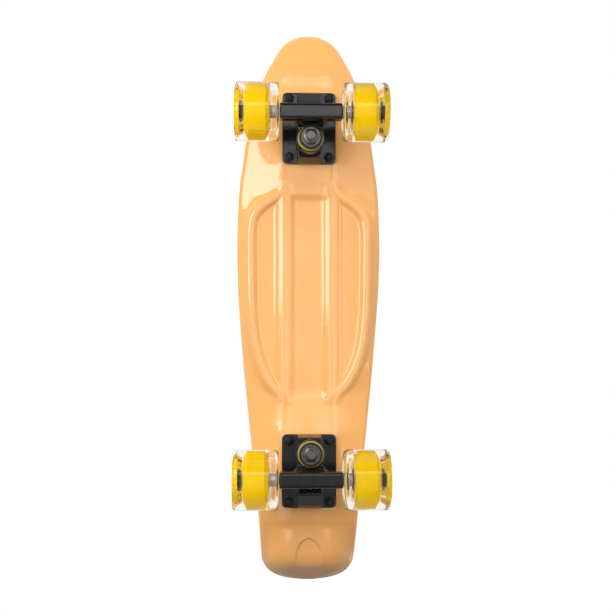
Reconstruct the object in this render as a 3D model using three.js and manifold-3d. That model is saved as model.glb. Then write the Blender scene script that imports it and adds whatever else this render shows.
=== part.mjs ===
// Cruiser skateboard: a short moulded plastic deck with a kicked tail, on two trucks with four clear wheels.
//
// Millimetres, +Z up. The board lies along Y with its nose at -Y, and the origin is on the ground under
// the middle of the deck. Each truck is built in its own frame: origin on the deck's mounting pad above the
// middle of the base plate, +Y towards the middle of the board, and the truck hangs down along -Z. The rear
// truck is the front one turned half round.
import * as THREE from "three";
import Module from "manifold-3d";
import { mergeVertices } from "three/addons/utils/BufferGeometryUtils.js";

const wasm = await Module();
wasm.setup();

// Clearances
const seatGap = 0.3; // between pieces that rest on or sit inside each other
const wheelSideGap = 0.6; // between a turning wheel and the hanger's bar
const cutOverrun = 2; // how far a cutting tool reaches past the face it cuts

// Deck
const deckLength = 571.5;
const deckWidth = 150;
const deckDepth = 18.8; // top of the rim to the underside skin under the middle of the board
const rimThickness = 11;
const rimRounding = 4.5;
const rimBand = 7.5; // plain raised band round the top
const dishDepth = 4;
const dishRun = 11; // from the rim band down to the floor of the dish
const undersideRun = 14; // from the rim's lower edge down to the underside skin, at the nose and the tail
const plateauWidth = 54.8; // the flat middle of the underside, between its side slopes
const plateauTipShare = 0.6; // of half the deck's width, where the deck is narrow
const rimAbovePad = 22.5; // top of the rim above the mounting pads, mid length
const noseDrop = 7;
const kickLength = 65;
const kickRise = 24.5;
const tipHalfWidth = 5;
const plainDiscRadius = 28;
const plainDiscProud = 0.4;
const plainDiscFromNose = 279;

// Underside ribs and panels
const ribProud = 1.4;
const panelRecess = 1.9;
const innerRibOffset = 24.7;
const innerRibWidth = 9.5;
const outerRibWidth = 10.7;
const ribFlank = 1.3; // how much narrower a rib is at its foot on each side
const ribRoot = 2; // how far a rib is sunk into the deck
const ribEndOverlap = 4;
const padMargin = 2.3; // the pad round the base plate
const padSink = 5;
const tailRecessWidth = 25;
const tailRecessLength = 27;
const tailRecessDepth = 1.6;
const tailRecessInset = 6; // its open end from the tip of the tail

// Deck tables: the first number is a share of the deck's length, from the nose
const halfWidthShares = [
  [0, 0.067], [0.0014, 0.145], [0.0052, 0.213], [0.0105, 0.29], [0.0166, 0.347], [0.0271, 0.413], [0.049, 0.515],
  [0.07, 0.604], [0.0927, 0.68], [0.1137, 0.74], [0.175, 0.853], [0.245, 0.933], [0.287, 0.973],
  [0.35, 0.995], [0.395, 1], [0.455, 0.987], [0.525, 0.951], [0.612, 0.896], [0.7, 0.827], [0.787, 0.757],
  [0.852, 0.703], [0.896, 0.673], [0.938, 0.653], [0.961, 0.636], [0.973, 0.595], [0.982, 0.54],
  [0.9905, 0.435], [0.9965, 0.28], [1, 0.067],
];
const camberShares = [
  [0, -1], [0.0875, -0.57], [0.175, -0.29], [0.26, -0.1], [0.35, 0], [0.525, 0], [0.61, -0.07], [0.7, -0.21],
  [0.7875, -0.43], [0.875, -0.64], [1, -0.64],
];
const depthShares = [
  [0, 0.55], [0.0166, 0.66], [0.0385, 0.79], [0.061, 0.91], [0.0875, 0.97], [0.175, 1], [0.26, 0.985],
  [0.35, 0.947], [0.577, 0.947], [0.7, 0.968], [0.7875, 0.984], [0.857, 0.96], [0.91, 0.9], [0.955, 0.82],
  [0.98, 0.68], [1, 0.48],
];
const rimShares = [[0, 0.8], [0.02, 1], [0.97, 1], [0.99, 0.86], [1, 0.7]];
// The kick's height as a share of kickRise, against the share of kickLength past the bend
const kickShares = [[-0.2, 0], [0, 0.035], [0.15, 0.16], [0.5, 0.635], [0.72, 0.91], [0.86, 0.985], [1, 1]];
const stationShares = [
  0, 0.0014, 0.0044, 0.009, 0.0145, 0.023, 0.035, 0.05, 0.07, 0.09, 0.115, 0.145, 0.175, 0.21, 0.245, 0.287,
  0.295, 0.308, 0.326, 0.35, 0.395, 0.455, 0.525, 0.57, 0.612, 0.655, 0.7, 0.745, 0.787, 0.825, 0.85, 0.865, 0.878, 0.89, 0.903,
  0.92, 0.938, 0.95, 0.961, 0.973, 0.982, 0.9905, 0.9965, 1,
];
// The outer rib's middle line: share of the deck's length, share of half the deck's width
const outerRibShares = [
  [0.292, 0.33], [0.2985, 0.41], [0.3075, 0.53], [0.32, 0.662], [0.333, 0.748], [0.35, 0.788], [0.376, 0.802],
  [0.486, 0.793], [0.559, 0.75], [0.607, 0.652], [0.638, 0.527], [0.661, 0.35],
];
const innerRibEndShares = [0.284, 0.667];
const centrePanelEndShares = [0.302, 0.664];
const roundingShares = [0, 0.16, 0.5, 1]; // points in from the deck's edge, in roundings
const topInsetShares = [...roundingShares, 1.67, 3, 4.5];
const slopeShares = [0.35, 0.7, 1]; // points down the underside's side slopes

// Trucks on the deck
const frontPlateFromNose = 101.5; // middle of the front base plate
const rearPlateFromTail = 116.3; // middle of the rear base plate
const axleDrop = 56.5; // mounting pad down to the axle

// Base plate
const plateWidth = 55.5;
const plateLength = 74.5;
const plateThickness = 5;
const plateCorner = 5;
const plateBodyWidth = 24;
const boltFromPlateSide = 7.1;
const boltFromPlateEnd = 6.5;
const kingpinFromPlateEnd = 17.5;
const kingpinBossRadius = 13;
const kingpinBossDepth = 22.5;
const bossEndSlope = 2.5;
const valleyDepth = 12.8;
const pivotBlockSlope = 3.2;
const pivotBlockRound = 9.5;

// Pivot
const pivotFromPlateMiddle = 15.5; // outward
const pivotDepth = 18.5;
const pivotAngle = THREE.MathUtils.degToRad(30);
const pivotBallRadius = 5;
const pivotBallGap = 0.8;
const pivotCupRadius = 7.5;
const pivotCupBase = 1.6;
const pivotCupMouth = 3.5; // past the ball's centre
const pivotBlockWall = 2;
const armRadius = 6.3;
const armNeckRadius = 4.6;
const armNeckEnd = 8;
const armLength = 35;

// Kingpin stack, measured down from the pad
const kingpinRadius = 5;
const kingpinHeadFlats = 15;
const kingpinHeadHeight = 6;
const kingpinHeadInset = 1.5;
const kingpinTip = 1.5; // past the nut
const kingpinChamfer = 1;
const upperCupRadius = 13;
const upperCupHeight = 3.4;
const upperCupBase = 1.6;
const cupWall = 1;
const upperBushingRadius = 11.6;
const upperBushingHeight = 10.6;
const upperBushingBulge = 0.4;
const ringRadius = 14;
const ringHeight = 10;
const ringBoreRadius = 7.5;
const lowerBushingRadius = 9;
const lowerBushingFootRadius = 8.4;
const lowerBushingHeight = 4.6;
const lowerCupRadius = 10.4;
const lowerCupHeight = 3.4;
const lowerCupBase = 1.8;
const kingpinNutFlats = 14;
const kingpinNutHeight = 8;
const nutCollarHeightShare = 0.32;
const nutCollarRadiusShare = 0.43; // of the nut's flats
const nutChamferShare = 0.08;

// Hanger
const barSection = 16;
const barCorner = 3.2;
const axleBossRadius = 6.5;
const webBarWidth = 41;
const webRingWidth = 25;
const webBarDepth = 11;
const webBarRise = 2; // the web's middle above the axle where it meets the bar
const webRingDepth = 8.6;
const webInset = 3; // how far the web reaches into the bar
const webWaist = 11.6; // outward of the kingpin, where the web turns down to the bar
const axleOffset = 4.3; // the axle, outward of the plate's middle

// Axle, wheels and bearings
const axleRadius = 4;
const axleTip = 1; // inside the wheel's outer face
const axleNutFlats = 13;
const axleNutHeight = 7.6;
const bearingRadius = 11;
const bearingWidth = 7;
const bearingBoreGap = 0.25;
const bearingRingWall = 1.9;
const bearingShieldInset = 0.5;
const wheelRadius = 29.5;
const wheelWidth = 45;
const wheelTrack = 108; // middle of one wheel to the middle of the other on one axle
const wheelEdgeRadius = 4;
const wheelFaceRadius = 25.5;
const wheelLip = 0.8;
const outerHollowRadius = 14.5; // the round hollow in a wheel's outer side, at its floor
const outerThroatRadius = 16.5; // where its wall turns into a wider slope
const outerSlopeDepth = 5; // the sloped ring from that hollow out to the wheel's face
const innerHollowRadius = 21.5; // the straight hollow in a wheel's inner side
const coreRadius = 18.75;
const coreWidth = 24;
const coreRimWidth = 17;
const coreHubRadius = 13.5;
const coreBoreRadius = 8;

// Deck bolts
const boltRadius = 2.5;
const boltHeadRadius = 4.5;
const boltHeadHeight = 2.6;
const boltHeadCrown = 0.4;
const boltDriveWidth = 1.4;
const boltDriveLength = 5;
const boltDriveDepth = 1.4;
const boltTip = 1.5; // past its nut
const deckNutFlats = 9;
const deckNutHeight = 4.6;

// Facets
const tyreFacets = 28;
const coreFacets = 20;
const smallFacets = 12;
const boltFacets = 10;
const holeFacets = 12;

// Worked out from the sizes above
const axleHeight = wheelRadius * Math.cos(Math.PI / tyreFacets);
const padHeight = axleHeight + axleDrop;
const bendFromNose = deckLength - kickLength;
const slopeStartShare = 0.5; // of the rim's rounding, in from the edge
const boltSpacingAcross = plateWidth - 2 * boltFromPlateSide;
const boltSpacingAlong = plateLength - 2 * boltFromPlateEnd;
const kingpinOffset = plateLength / 2 - kingpinFromPlateEnd; // inward of the plate's middle
const plateCentres = [
  { name: "front", fromNose: frontPlateFromNose, turn: 0 },
  { name: "rear", fromNose: deckLength - rearPlateFromTail, turn: Math.PI },
];

// Materials
function finish(color, roughness, metalness = 0, opacity = 1) {
  return new THREE.MeshStandardMaterial({ color, roughness, metalness, opacity, transparent: opacity < 1 });
}

const deckPlastic = finish(0xfbbe7a, 0.25);
const clearUrethane = finish(0xe9e4d4, 0.05, 0, 0.35);
const yellowPlastic = finish(0xf7d600, 0.35);
const oliveUrethane = finish(0xcdbe0a, 0.45);
const blackPaint = finish(0x17181b, 0.4, 0.3);
const blackSteel = finish(0x1b1b1d, 0.45, 0.6);
const plainSteel = finish(0x9a9a98, 0.35, 1);
const blackRubber = finish(0x202022, 0.7);

// Shape helpers
function signedVolume(geometry) {
  const at = geometry.attributes.position;
  const order = geometry.index.array;
  const corners = [new THREE.Vector3(), new THREE.Vector3(), new THREE.Vector3()];
  let volume = 0;
  for (let i = 0; i < order.length; i += 3) {
    corners.forEach((corner, k) => corner.fromBufferAttribute(at, order[i + k]));
    volume += corners[0].dot(corners[1].cross(corners[2])) / 6;
  }
  return volume;
}

function closed(geometry) {
  const bare = geometry.clone();
  bare.deleteAttribute("normal");
  bare.deleteAttribute("uv");
  const merged = mergeVertices(bare, 1e-4);
  const order = Array.from(merged.index.array);
  const kept = [];
  for (let i = 0; i < order.length; i += 3) {
    const [a, b, c] = order.slice(i, i + 3);
    if (a !== b && b !== c && a !== c) {
      kept.push(a, b, c);
    }
  }
  merged.setIndex(kept);
  if (signedVolume(merged) < 0) {
    for (let i = 0; i < kept.length; i += 3) {
      [kept[i + 1], kept[i + 2]] = [kept[i + 2], kept[i + 1]];
    }
    merged.setIndex(kept);
  }
  return merged;
}

function solid(geometry) {
  const shape = closed(geometry);
  return new wasm.Manifold(new wasm.Mesh({
    numProp: 3,
    vertProperties: new Float32Array(shape.attributes.position.array),
    triVerts: new Uint32Array(shape.index.array),
  }));
}

function geometryOf(body) {
  const mesh = body.getMesh();
  const geometry = new THREE.BufferGeometry();
  geometry.setAttribute("position", new THREE.BufferAttribute(new Float32Array(mesh.vertProperties), 3));
  geometry.setIndex(Array.from(mesh.triVerts));
  return geometry;
}

function join(...pieces) {
  return pieces.reduce((whole, piece) => whole.add(piece));
}

function cut(whole, ...tools) {
  return tools.reduce((rest, tool) => rest.subtract(tool), whole);
}

// A turned shape: points are [radius, height] and the axis is Z
function turned(points, facets) {
  const outline = points.map(([radius, height]) => new THREE.Vector2(radius, height));
  const onAxis = points[0][0] === 0 && points[points.length - 1][0] === 0;
  if (!onAxis) {
    outline.push(outline[0].clone());
  }
  const shape = new THREE.LatheGeometry(outline, facets, Math.PI / facets);
  return shape.rotateX(Math.PI / 2);
}

// Radius of a faceted hole whose flats clear a round piece of this radius
function roomFor(radius, facets, gap = seatGap) {
  return (radius + gap) / Math.cos(Math.PI / facets);
}

function disc(radius, low, high, facets) {
  return turned([[0, low], [radius, low], [radius, high], [0, high]], facets);
}

function prism(shape, low, high) {
  const block = new THREE.ExtrudeGeometry(shape, { depth: high - low, bevelEnabled: false, curveSegments: 4 });
  return block.translate(0, 0, low);
}

function hexagon(flats) {
  const radius = flats / Math.sqrt(3);
  const corners = [0, 1, 2, 3, 4, 5].map((i) => {
    const angle = (i * Math.PI) / 3;
    return new THREE.Vector2(radius * Math.cos(angle), radius * Math.sin(angle));
  });
  return new THREE.Shape(corners);
}

function roundedRectangle(width, length, corner) {
  const x = width / 2;
  const y = length / 2;
  const shape = new THREE.Shape();
  shape.moveTo(-x + corner, -y);
  shape.lineTo(x - corner, -y);
  shape.absarc(x - corner, -y + corner, corner, -Math.PI / 2, 0);
  shape.lineTo(x, y - corner);
  shape.absarc(x - corner, y - corner, corner, 0, Math.PI / 2);
  shape.lineTo(-x + corner, y);
  shape.absarc(-x + corner, y - corner, corner, Math.PI / 2, Math.PI);
  shape.lineTo(-x, -y + corner);
  shape.absarc(-x + corner, -y + corner, corner, Math.PI, 1.5 * Math.PI);
  return shape;
}

// Turns a shape built along Z so that it runs along X: its X becomes Y and its Y becomes Z
function alongX(geometry) {
  const basis = new THREE.Matrix4().makeBasis(
    new THREE.Vector3(0, 1, 0),
    new THREE.Vector3(0, 0, 1),
    new THREE.Vector3(1, 0, 0),
  );
  return geometry.applyMatrix4(basis);
}

// Rings of points, one after another, joined into a closed skin with flat ends
function skin(rings) {
  const count = rings[0].length;
  const points = rings.flat();
  const order = [];
  for (let i = 0; i + 1 < rings.length; i += 1) {
    for (let k = 0; k < count; k += 1) {
      const a = i * count + k;
      const b = i * count + ((k + 1) % count);
      order.push(a, b, a + count, b, b + count, a + count);
    }
  }
  for (let k = 1; k + 1 < count; k += 1) {
    const last = (rings.length - 1) * count;
    order.push(0, k + 1, k, last, last + k, last + k + 1);
  }
  const geometry = new THREE.BufferGeometry();
  const flat = new Float32Array(points.flatMap((point) => [point.x, point.y, point.z]));
  geometry.setAttribute("position", new THREE.BufferAttribute(flat, 3));
  geometry.setIndex(order);
  return geometry;
}

// A smooth curve through a table's points that never overshoots them
function smoothTable(table, at) {
  const last = table.length - 1;
  if (at <= table[0][0]) {
    return table[0][1];
  }
  if (at >= table[last][0]) {
    return table[last][1];
  }
  const slope = (i) => (table[i + 1][1] - table[i][1]) / (table[i + 1][0] - table[i][0]);
  const tangent = (i) => {
    if (i === 0 || i === last) {
      return slope(i === 0 ? 0 : last - 1);
    }
    const before = slope(i - 1);
    const after = slope(i);
    return before * after <= 0 ? 0 : (2 * before * after) / (before + after);
  };
  const i = table.findIndex(([key]) => key > at) - 1;
  const span = table[i + 1][0] - table[i][0];
  const t = (at - table[i][0]) / span;
  const low = table[i][1];
  const high = table[i + 1][1];
  const bend = t * t * (3 - 2 * t);
  return low + (high - low) * bend
    + span * t * (1 - t) * (tangent(i) * (1 - t) - tangent(i + 1) * t);
}

function smoothStep(value) {
  const t = Math.min(1, Math.max(0, value));
  return t * t * (3 - 2 * t);
}

// Deck surfaces, by distance from the nose and distance across
function halfWidthAt(fromNose) {
  const share = smoothTable(halfWidthShares, fromNose / deckLength);
  const tip = halfWidthShares[0][1];
  const body = (share - tip) / (1 - tip);
  return tipHalfWidth + (deckWidth / 2 - tipHalfWidth) * body;
}

const outlinePoints = stationShares.flatMap((share, i) => {
  const next = stationShares[Math.min(i + 1, stationShares.length - 1)];
  return [share, (share + next) / 2];
}).map((share) => new THREE.Vector2(halfWidthAt(share * deckLength), share * deckLength));

function edgeDistance(across, fromNose) {
  const at = new THREE.Vector2(Math.abs(across), fromNose);
  const nearest = new THREE.Vector2();
  let least = Math.min(fromNose, deckLength - fromNose);
  for (let i = 0; i + 1 < outlinePoints.length; i += 1) {
    const start = outlinePoints[i];
    const run = nearest.copy(outlinePoints[i + 1]).sub(start);
    const length = run.lengthSq();
    if (length > 0) {
      const along = Math.min(1, Math.max(0, at.clone().sub(start).dot(run) / length));
      least = Math.min(least, run.multiplyScalar(along).add(start).distanceTo(at));
    }
  }
  return least;
}

function rimTopAt(fromNose) {
  const camber = noseDrop * smoothTable(camberShares, fromNose / deckLength);
  const kick = kickRise * smoothTable(kickShares, (fromNose - bendFromNose) / kickLength);
  return padHeight + rimAbovePad + camber + kick;
}

function roundingDrop(inset) {
  const short = Math.max(0, rimRounding - inset);
  return rimRounding - Math.sqrt(rimRounding ** 2 - short ** 2);
}

function topAt(across, fromNose) {
  const inset = edgeDistance(across, fromNose);
  const dish = dishDepth * smoothStep((inset - rimBand) / dishRun);
  return rimTopAt(fromNose) - roundingDrop(inset) - dish;
}

function outerRibOffsetAt(fromNose) {
  return (deckWidth / 2) * smoothTable(outerRibShares, fromNose / deckLength);
}

// Half the width of the underside's flat middle, which reaches out to the outer ribs where these run
function plateauHalfAt(fromNose) {
  const share = fromNose / deckLength;
  const beside = share > outerRibShares[0][0] && share < outerRibShares[outerRibShares.length - 1][0];
  const plain = Math.min(plateauWidth / 2, halfWidthAt(fromNose) * plateauTipShare);
  return Math.max(plain, beside ? outerRibOffsetAt(fromNose) : 0);
}

function undersideAt(across, fromNose) {
  const rim = rimThickness * smoothTable(rimShares, fromNose / deckLength);
  const full = Math.max(rim, deckDepth * smoothTable(depthShares, fromNose / deckLength));
  const start = rimRounding * slopeStartShare;
  const half = halfWidthAt(fromNose);
  const beside = (half - Math.abs(across) - start) / (half - plateauHalfAt(fromNose) - start);
  const ahead = (Math.min(fromNose, deckLength - fromNose) - start) / undersideRun;
  const fall = rim + (full - rim) * Math.min(1, Math.max(0, Math.min(beside, ahead)));
  return rimTopAt(fromNose) - fall + roundingDrop(edgeDistance(across, fromNose)) * (rim / rimThickness);
}

function yOf(fromNose) {
  return fromNose - deckLength / 2;
}

// Ring of one deck station: over the top from one edge to the other, and back underneath
function deckStation(fromNose) {
  const half = halfWidthAt(fromNose);
  const insets = topInsetShares.map((share) => share * rimRounding);
  const squeeze = Math.min(1, half / (2 * insets[insets.length - 1]));
  const outer = insets.map((inset) => half - inset * squeeze);
  const edge = outer.slice(0, roundingShares.length);
  const foot = edge[edge.length - 1];
  const flat = plateauHalfAt(fromNose);
  const slope = slopeShares.map((share) => foot + (flat - foot) * share);
  const across = (side) => [...side, 0, ...side.slice().reverse().map((x) => -x)];
  const place = (x, height) => new THREE.Vector3(x, yOf(fromNose), height);
  const over = across([...outer, outer[outer.length - 1] / 2]).map((x) => place(x, topAt(x, fromNose)));
  const under = across([...edge, ...slope, flat / 2]).reverse().map((x) => place(x, undersideAt(x, fromNose)));
  return [...over, ...under];
}

function deckShell() {
  return solid(skin(stationShares.map((share) => deckStation(share * deckLength))));
}

// Flat-sided strip that follows the underside, between two edges and two heights
function undersideStrip(stations, edgesAt, lowBelow, highAbove) {
  return solid(skin(stations.map((fromNose) => {
    const [left, right] = edgesAt(fromNose);
    const skinHeight = undersideAt(0, fromNose);
    return [
      new THREE.Vector3(left, yOf(fromNose), skinHeight - lowBelow),
      new THREE.Vector3(right, yOf(fromNose), skinHeight - lowBelow),
      new THREE.Vector3(right, yOf(fromNose), skinHeight + highAbove),
      new THREE.Vector3(left, yOf(fromNose), skinHeight + highAbove),
    ];
  })));
}

function stationsBetween(lowShare, highShare) {
  const between = stationShares.filter((share) => share > lowShare && share < highShare);
  return [lowShare, ...between, highShare].map((share) => share * deckLength);
}

function panelTools() {
  const first = outerRibShares[1][0];
  const last = outerRibShares[outerRibShares.length - 2][0];
  const sideRun = stationsBetween(first, last);
  const depth = [cutOverrun * 2, panelRecess];
  const side = (sign) => undersideStrip(
    sideRun,
    (s) => [sign * innerRibOffset, sign * outerRibOffsetAt(s)].sort((a, b) => a - b),
    ...depth,
  );
  const centre = undersideStrip(
    stationsBetween(...centrePanelEndShares),
    () => [-innerRibOffset, innerRibOffset],
    ...depth,
  );
  return [side(1), side(-1), centre];
}

// A rib swept along a middle line of [across, from nose] points
function rib(line, width) {
  const foot = width / 2 - ribFlank;
  const root = width / 2 + ribFlank / 2;
  const rings = line.map(([across, fromNose], i) => {
    const before = line[Math.max(0, i - 1)];
    const after = line[Math.min(line.length - 1, i + 1)];
    const run = new THREE.Vector2(after[0] - before[0], after[1] - before[1]).normalize();
    const low = undersideAt(0, fromNose) - ribProud;
    const high = undersideAt(0, fromNose) + panelRecess + ribRoot;
    const place = (offset, height) => new THREE.Vector3(
      across + run.y * offset,
      yOf(fromNose - run.x * offset),
      height,
    );
    return [place(-foot, low), place(foot, low), place(root, high), place(-root, high)];
  });
  return solid(skin(rings));
}

function ribs() {
  const inner = stationsBetween(...innerRibEndShares);
  const outer = outerRibShares.map(([share, offset]) => [(deckWidth / 2) * offset, share * deckLength]);
  const first = outer[0];
  const last = outer[outer.length - 1];
  const outerLine = [[first[0] - ribEndOverlap, first[1]], ...outer, [last[0] - ribEndOverlap, last[1]]];
  return [1, -1].flatMap((sign) => [
    rib(inner.map((fromNose) => [sign * innerRibOffset, fromNose]), innerRibWidth),
    rib(outerLine.map(([across, fromNose]) => [sign * across, fromNose]), outerRibWidth),
  ]);
}

function mountingPad(fromNose) {
  const shape = roundedRectangle(plateWidth + 2 * padMargin, plateLength + 2 * padMargin, plateCorner);
  return solid(prism(shape, padHeight, padHeight + padSink).translate(0, yOf(fromNose), 0));
}

function plainDisc() {
  const top = topAt(0, plainDiscFromNose) + plainDiscProud;
  const round = disc(plainDiscRadius, top - dishDepth, top, tyreFacets);
  return solid(round.translate(0, yOf(plainDiscFromNose), 0));
}

// Arch-shaped hollow under the tail, as deep as tailRecessDepth at its round end and open towards the tip
function tailRecess() {
  const radius = tailRecessWidth / 2;
  const shape = new THREE.Shape();
  shape.moveTo(radius, tailRecessLength - radius);
  shape.absarc(0, 0, radius, 0, Math.PI, true);
  shape.lineTo(-radius, tailRecessLength - radius);
  const far = deckLength - tailRecessInset;
  const near = far - tailRecessLength;
  const rise = undersideAt(0, far) - undersideAt(0, near);
  const slope = Math.atan2(rise - tailRecessDepth, tailRecessLength);
  const tool = prism(shape, -cutOverrun * 2, 0);
  return solid(tool.translate(0, radius, 0).rotateX(slope)
    .translate(0, yOf(near), undersideAt(0, near) + tailRecessDepth));
}

function boltPlaces(fromNose) {
  return [[1, -1], [-1, -1], [1, 1], [-1, 1]].map(([x, y]) => ({
    across: (x * boltSpacingAcross) / 2,
    fromNose: fromNose + (y * boltSpacingAlong) / 2,
  }));
}

function headSeatAt({ across, fromNose }) {
  return topAt(across, fromNose) - boltHeadHeight;
}

function boltTools(place) {
  const hole = disc(roomFor(boltRadius, holeFacets), padHeight - cutOverrun, padHeight + rimAbovePad, holeFacets);
  const seat = headSeatAt(place);
  const headRoom = roomFor(boltHeadRadius, smallFacets);
  const counterbore = disc(headRoom, seat, seat + boltHeadHeight + cutOverrun, smallFacets);
  return [hole, counterbore].map((tool) => solid(tool.translate(place.across, yOf(place.fromNose), 0)));
}

function deck() {
  const shaped = join(
    cut(deckShell(), ...panelTools(), tailRecess()),
    ...ribs(),
    ...plateCentres.map(({ fromNose }) => mountingPad(fromNose)),
    plainDisc(),
  );
  const holes = plateCentres.flatMap(({ fromNose }) => boltPlaces(fromNose).flatMap(boltTools));
  return geometryOf(cut(shaped, ...holes));
}

// Fasteners
function nutGeometry(flats, boreRadius, height) {
  const collar = height * nutCollarHeightShare;
  const body = solid(prism(hexagon(flats), 0, height - collar));
  const collarRadius = flats * nutCollarRadiusShare;
  const dome = solid(turned([
    [0, height - collar - cutOverrun],
    [collarRadius, height - collar - cutOverrun],
    [collarRadius, height - flats * nutChamferShare],
    [collarRadius - flats * nutChamferShare, height],
    [0, height],
  ], smallFacets));
  const bore = solid(disc(roomFor(boreRadius, holeFacets), -cutOverrun, height + cutOverrun, holeFacets));
  return geometryOf(cut(join(body, dome), bore));
}

function boltGeometry(length) {
  const head = turned([
    [0, -length], [boltRadius, -length], [boltRadius, 0], [boltHeadRadius, 0],
    [boltHeadRadius, boltHeadHeight - boltHeadCrown], [boltHeadRadius - boltHeadCrown, boltHeadHeight],
    [0, boltHeadHeight],
  ], boltFacets);
  const slot = new THREE.BoxGeometry(boltDriveLength, boltDriveWidth, boltDriveDepth * 2);
  slot.translate(0, 0, boltHeadHeight);
  const crossed = slot.clone().rotateZ(Math.PI / 2);
  return geometryOf(cut(solid(head), solid(slot), solid(crossed)));
}

function fasteners({ name, fromNose }) {
  const group = new THREE.Group();
  boltPlaces(fromNose).forEach((place, i) => {
    const seat = headSeatAt(place) + seatGap;
    const nutTop = padHeight - plateThickness - 2 * seatGap;
    const length = seat - nutTop + deckNutHeight + boltTip;
    const bolt = named(`${name}_bolt_${i + 1}`, boltGeometry(length), blackSteel);
    bolt.position.set(place.across, yOf(place.fromNose), seat);
    const nut = named(`${name}_bolt_nut_${i + 1}`, nutGeometry(deckNutFlats, boltRadius, deckNutHeight), blackSteel);
    nut.position.set(place.across, yOf(place.fromNose), nutTop);
    nut.rotation.x = Math.PI;
    group.add(bolt, nut);
  });
  return group;
}

// Truck levels, down from the pad
const pivotY = -pivotFromPlateMiddle;
const plateFace = -seatGap - plateThickness;
const upperCupTop = -kingpinBossDepth - seatGap;
const upperBushingTop = upperCupTop - upperCupBase - seatGap;
const ringTop = upperBushingTop - upperBushingHeight - seatGap;
const ringBottom = ringTop - ringHeight;
const lowerBushingTop = ringBottom - seatGap;
const lowerCupBottom = lowerBushingTop - lowerBushingHeight - seatGap - lowerCupBase;
const kingpinNutTop = lowerCupBottom - seatGap;
const kingpinEnd = kingpinNutTop - kingpinNutHeight - kingpinTip;
const bearingInnerFace = wheelTrack / 2 - coreWidth / 2;
const bearingOuterFace = wheelTrack / 2 + coreWidth / 2;

// Places a shape turned along its own Z at the pivot, with Z running down the hanger's arm
function atPivot(geometry) {
  return geometry.rotateX(Math.PI + pivotAngle).translate(0, pivotY, -pivotDepth);
}

// Side outline of the base plate's middle body, as [along, down] points
function plateBodyOutline() {
  const end = plateLength / 2;
  const bossNear = kingpinOffset - kingpinBossRadius;
  const bossFar = end - bossEndSlope;
  const mouth = new THREE.Vector2(
    pivotY + pivotCupMouth * Math.sin(pivotAngle),
    -pivotDepth - pivotCupMouth * Math.cos(pivotAngle),
  );
  const face = new THREE.Vector2(Math.cos(pivotAngle), Math.sin(pivotAngle));
  const reach = pivotCupRadius + seatGap;
  return [
    [end, plateFace + plateThickness / 2],
    [end, plateFace - bossEndSlope],
    [bossFar, -kingpinBossDepth],
    [bossNear, -kingpinBossDepth],
    [bossNear, -kingpinBossDepth + bossEndSlope],
    [mouth.x + face.x * (reach + pivotBlockWall), -valleyDepth],
    [mouth.x + face.x * reach, mouth.y + face.y * reach],
    [mouth.x - face.x * reach, mouth.y - face.y * reach],
    [mouth.x - face.x * (reach + pivotBlockWall), mouth.y - face.y * reach],
    [-end + pivotBlockSlope, mouth.y - face.y * reach + pivotBlockRound],
    [-end, plateFace - pivotBlockSlope / 2],
    [-end, plateFace + plateThickness / 2],
  ].map(([along, height]) => new THREE.Vector2(along, height));
}

function basePlate() {
  const flange = prism(roundedRectangle(plateWidth, plateLength, plateCorner), plateFace, -seatGap);
  const body = alongX(prism(new THREE.Shape(plateBodyOutline()), -plateBodyWidth / 2, plateBodyWidth / 2));
  const boss = disc(kingpinBossRadius, -kingpinBossDepth, plateFace + plateThickness / 2, coreFacets);
  const headRoom = roomFor(kingpinHeadFlats / Math.sqrt(3), smallFacets);
  const headSeat = -kingpinHeadInset - kingpinHeadHeight - seatGap;
  const bore = disc(roomFor(kingpinRadius, smallFacets), -kingpinBossDepth - cutOverrun, 0, smallFacets);
  const headPocket = disc(headRoom, headSeat, cutOverrun, smallFacets);
  const cupSeat = atPivot(disc(
    roomFor(pivotCupRadius, coreFacets),
    -pivotBallRadius - pivotBallGap - pivotCupBase - seatGap,
    pivotCupMouth + kingpinBossRadius,
    coreFacets,
  ));
  const boltHoles = boltPlaces(0).map(({ across, fromNose }) => solid(
    disc(roomFor(boltRadius, holeFacets), plateFace - cutOverrun, cutOverrun, holeFacets)
      .translate(across, fromNose, 0),
  ));
  const blank = join(solid(flange), solid(body), solid(boss.translate(0, kingpinOffset, 0)));
  return geometryOf(cut(
    blank,
    solid(bore.translate(0, kingpinOffset, 0)),
    solid(headPocket.translate(0, kingpinOffset, 0)),
    solid(cupSeat),
    ...boltHoles,
  ));
}

function pivotCup() {
  const room = pivotBallRadius + pivotBallGap;
  const floor = -room - pivotCupBase;
  const hollow = [60, 30, 0].map((degrees) => {
    const angle = THREE.MathUtils.degToRad(degrees);
    return [room * Math.cos(angle), -room * Math.sin(angle)];
  });
  return atPivot(turned([
    [0, floor], [pivotCupRadius, floor], [pivotCupRadius, pivotCupMouth],
    [room + seatGap, pivotCupMouth], ...hollow.reverse(), [0, -room],
  ], coreFacets));
}

function kingpin() {
  const headTop = -kingpinHeadInset;
  const head = prism(hexagon(kingpinHeadFlats), headTop - kingpinHeadHeight, headTop);
  const shank = turned([
    [0, kingpinEnd], [kingpinRadius - kingpinChamfer, kingpinEnd],
    [kingpinRadius, kingpinEnd + kingpinChamfer], [kingpinRadius, headTop - kingpinHeadHeight / 2],
    [0, headTop - kingpinHeadHeight / 2],
  ], smallFacets);
  return geometryOf(join(solid(head), solid(shank)));
}

// A pressed washer: a flat base with a low wall round it; wallUp is 1 where the wall stands up
function cupWasher(radius, height, base, wallUp) {
  const bore = roomFor(kingpinRadius, coreFacets);
  return turned([
    [bore, 0], [radius - cupWall / 2, 0], [radius, wallUp * base / 2], [radius, wallUp * height],
    [radius - cupWall, wallUp * height], [radius - cupWall, wallUp * base], [bore, wallUp * base],
  ], coreFacets);
}

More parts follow.
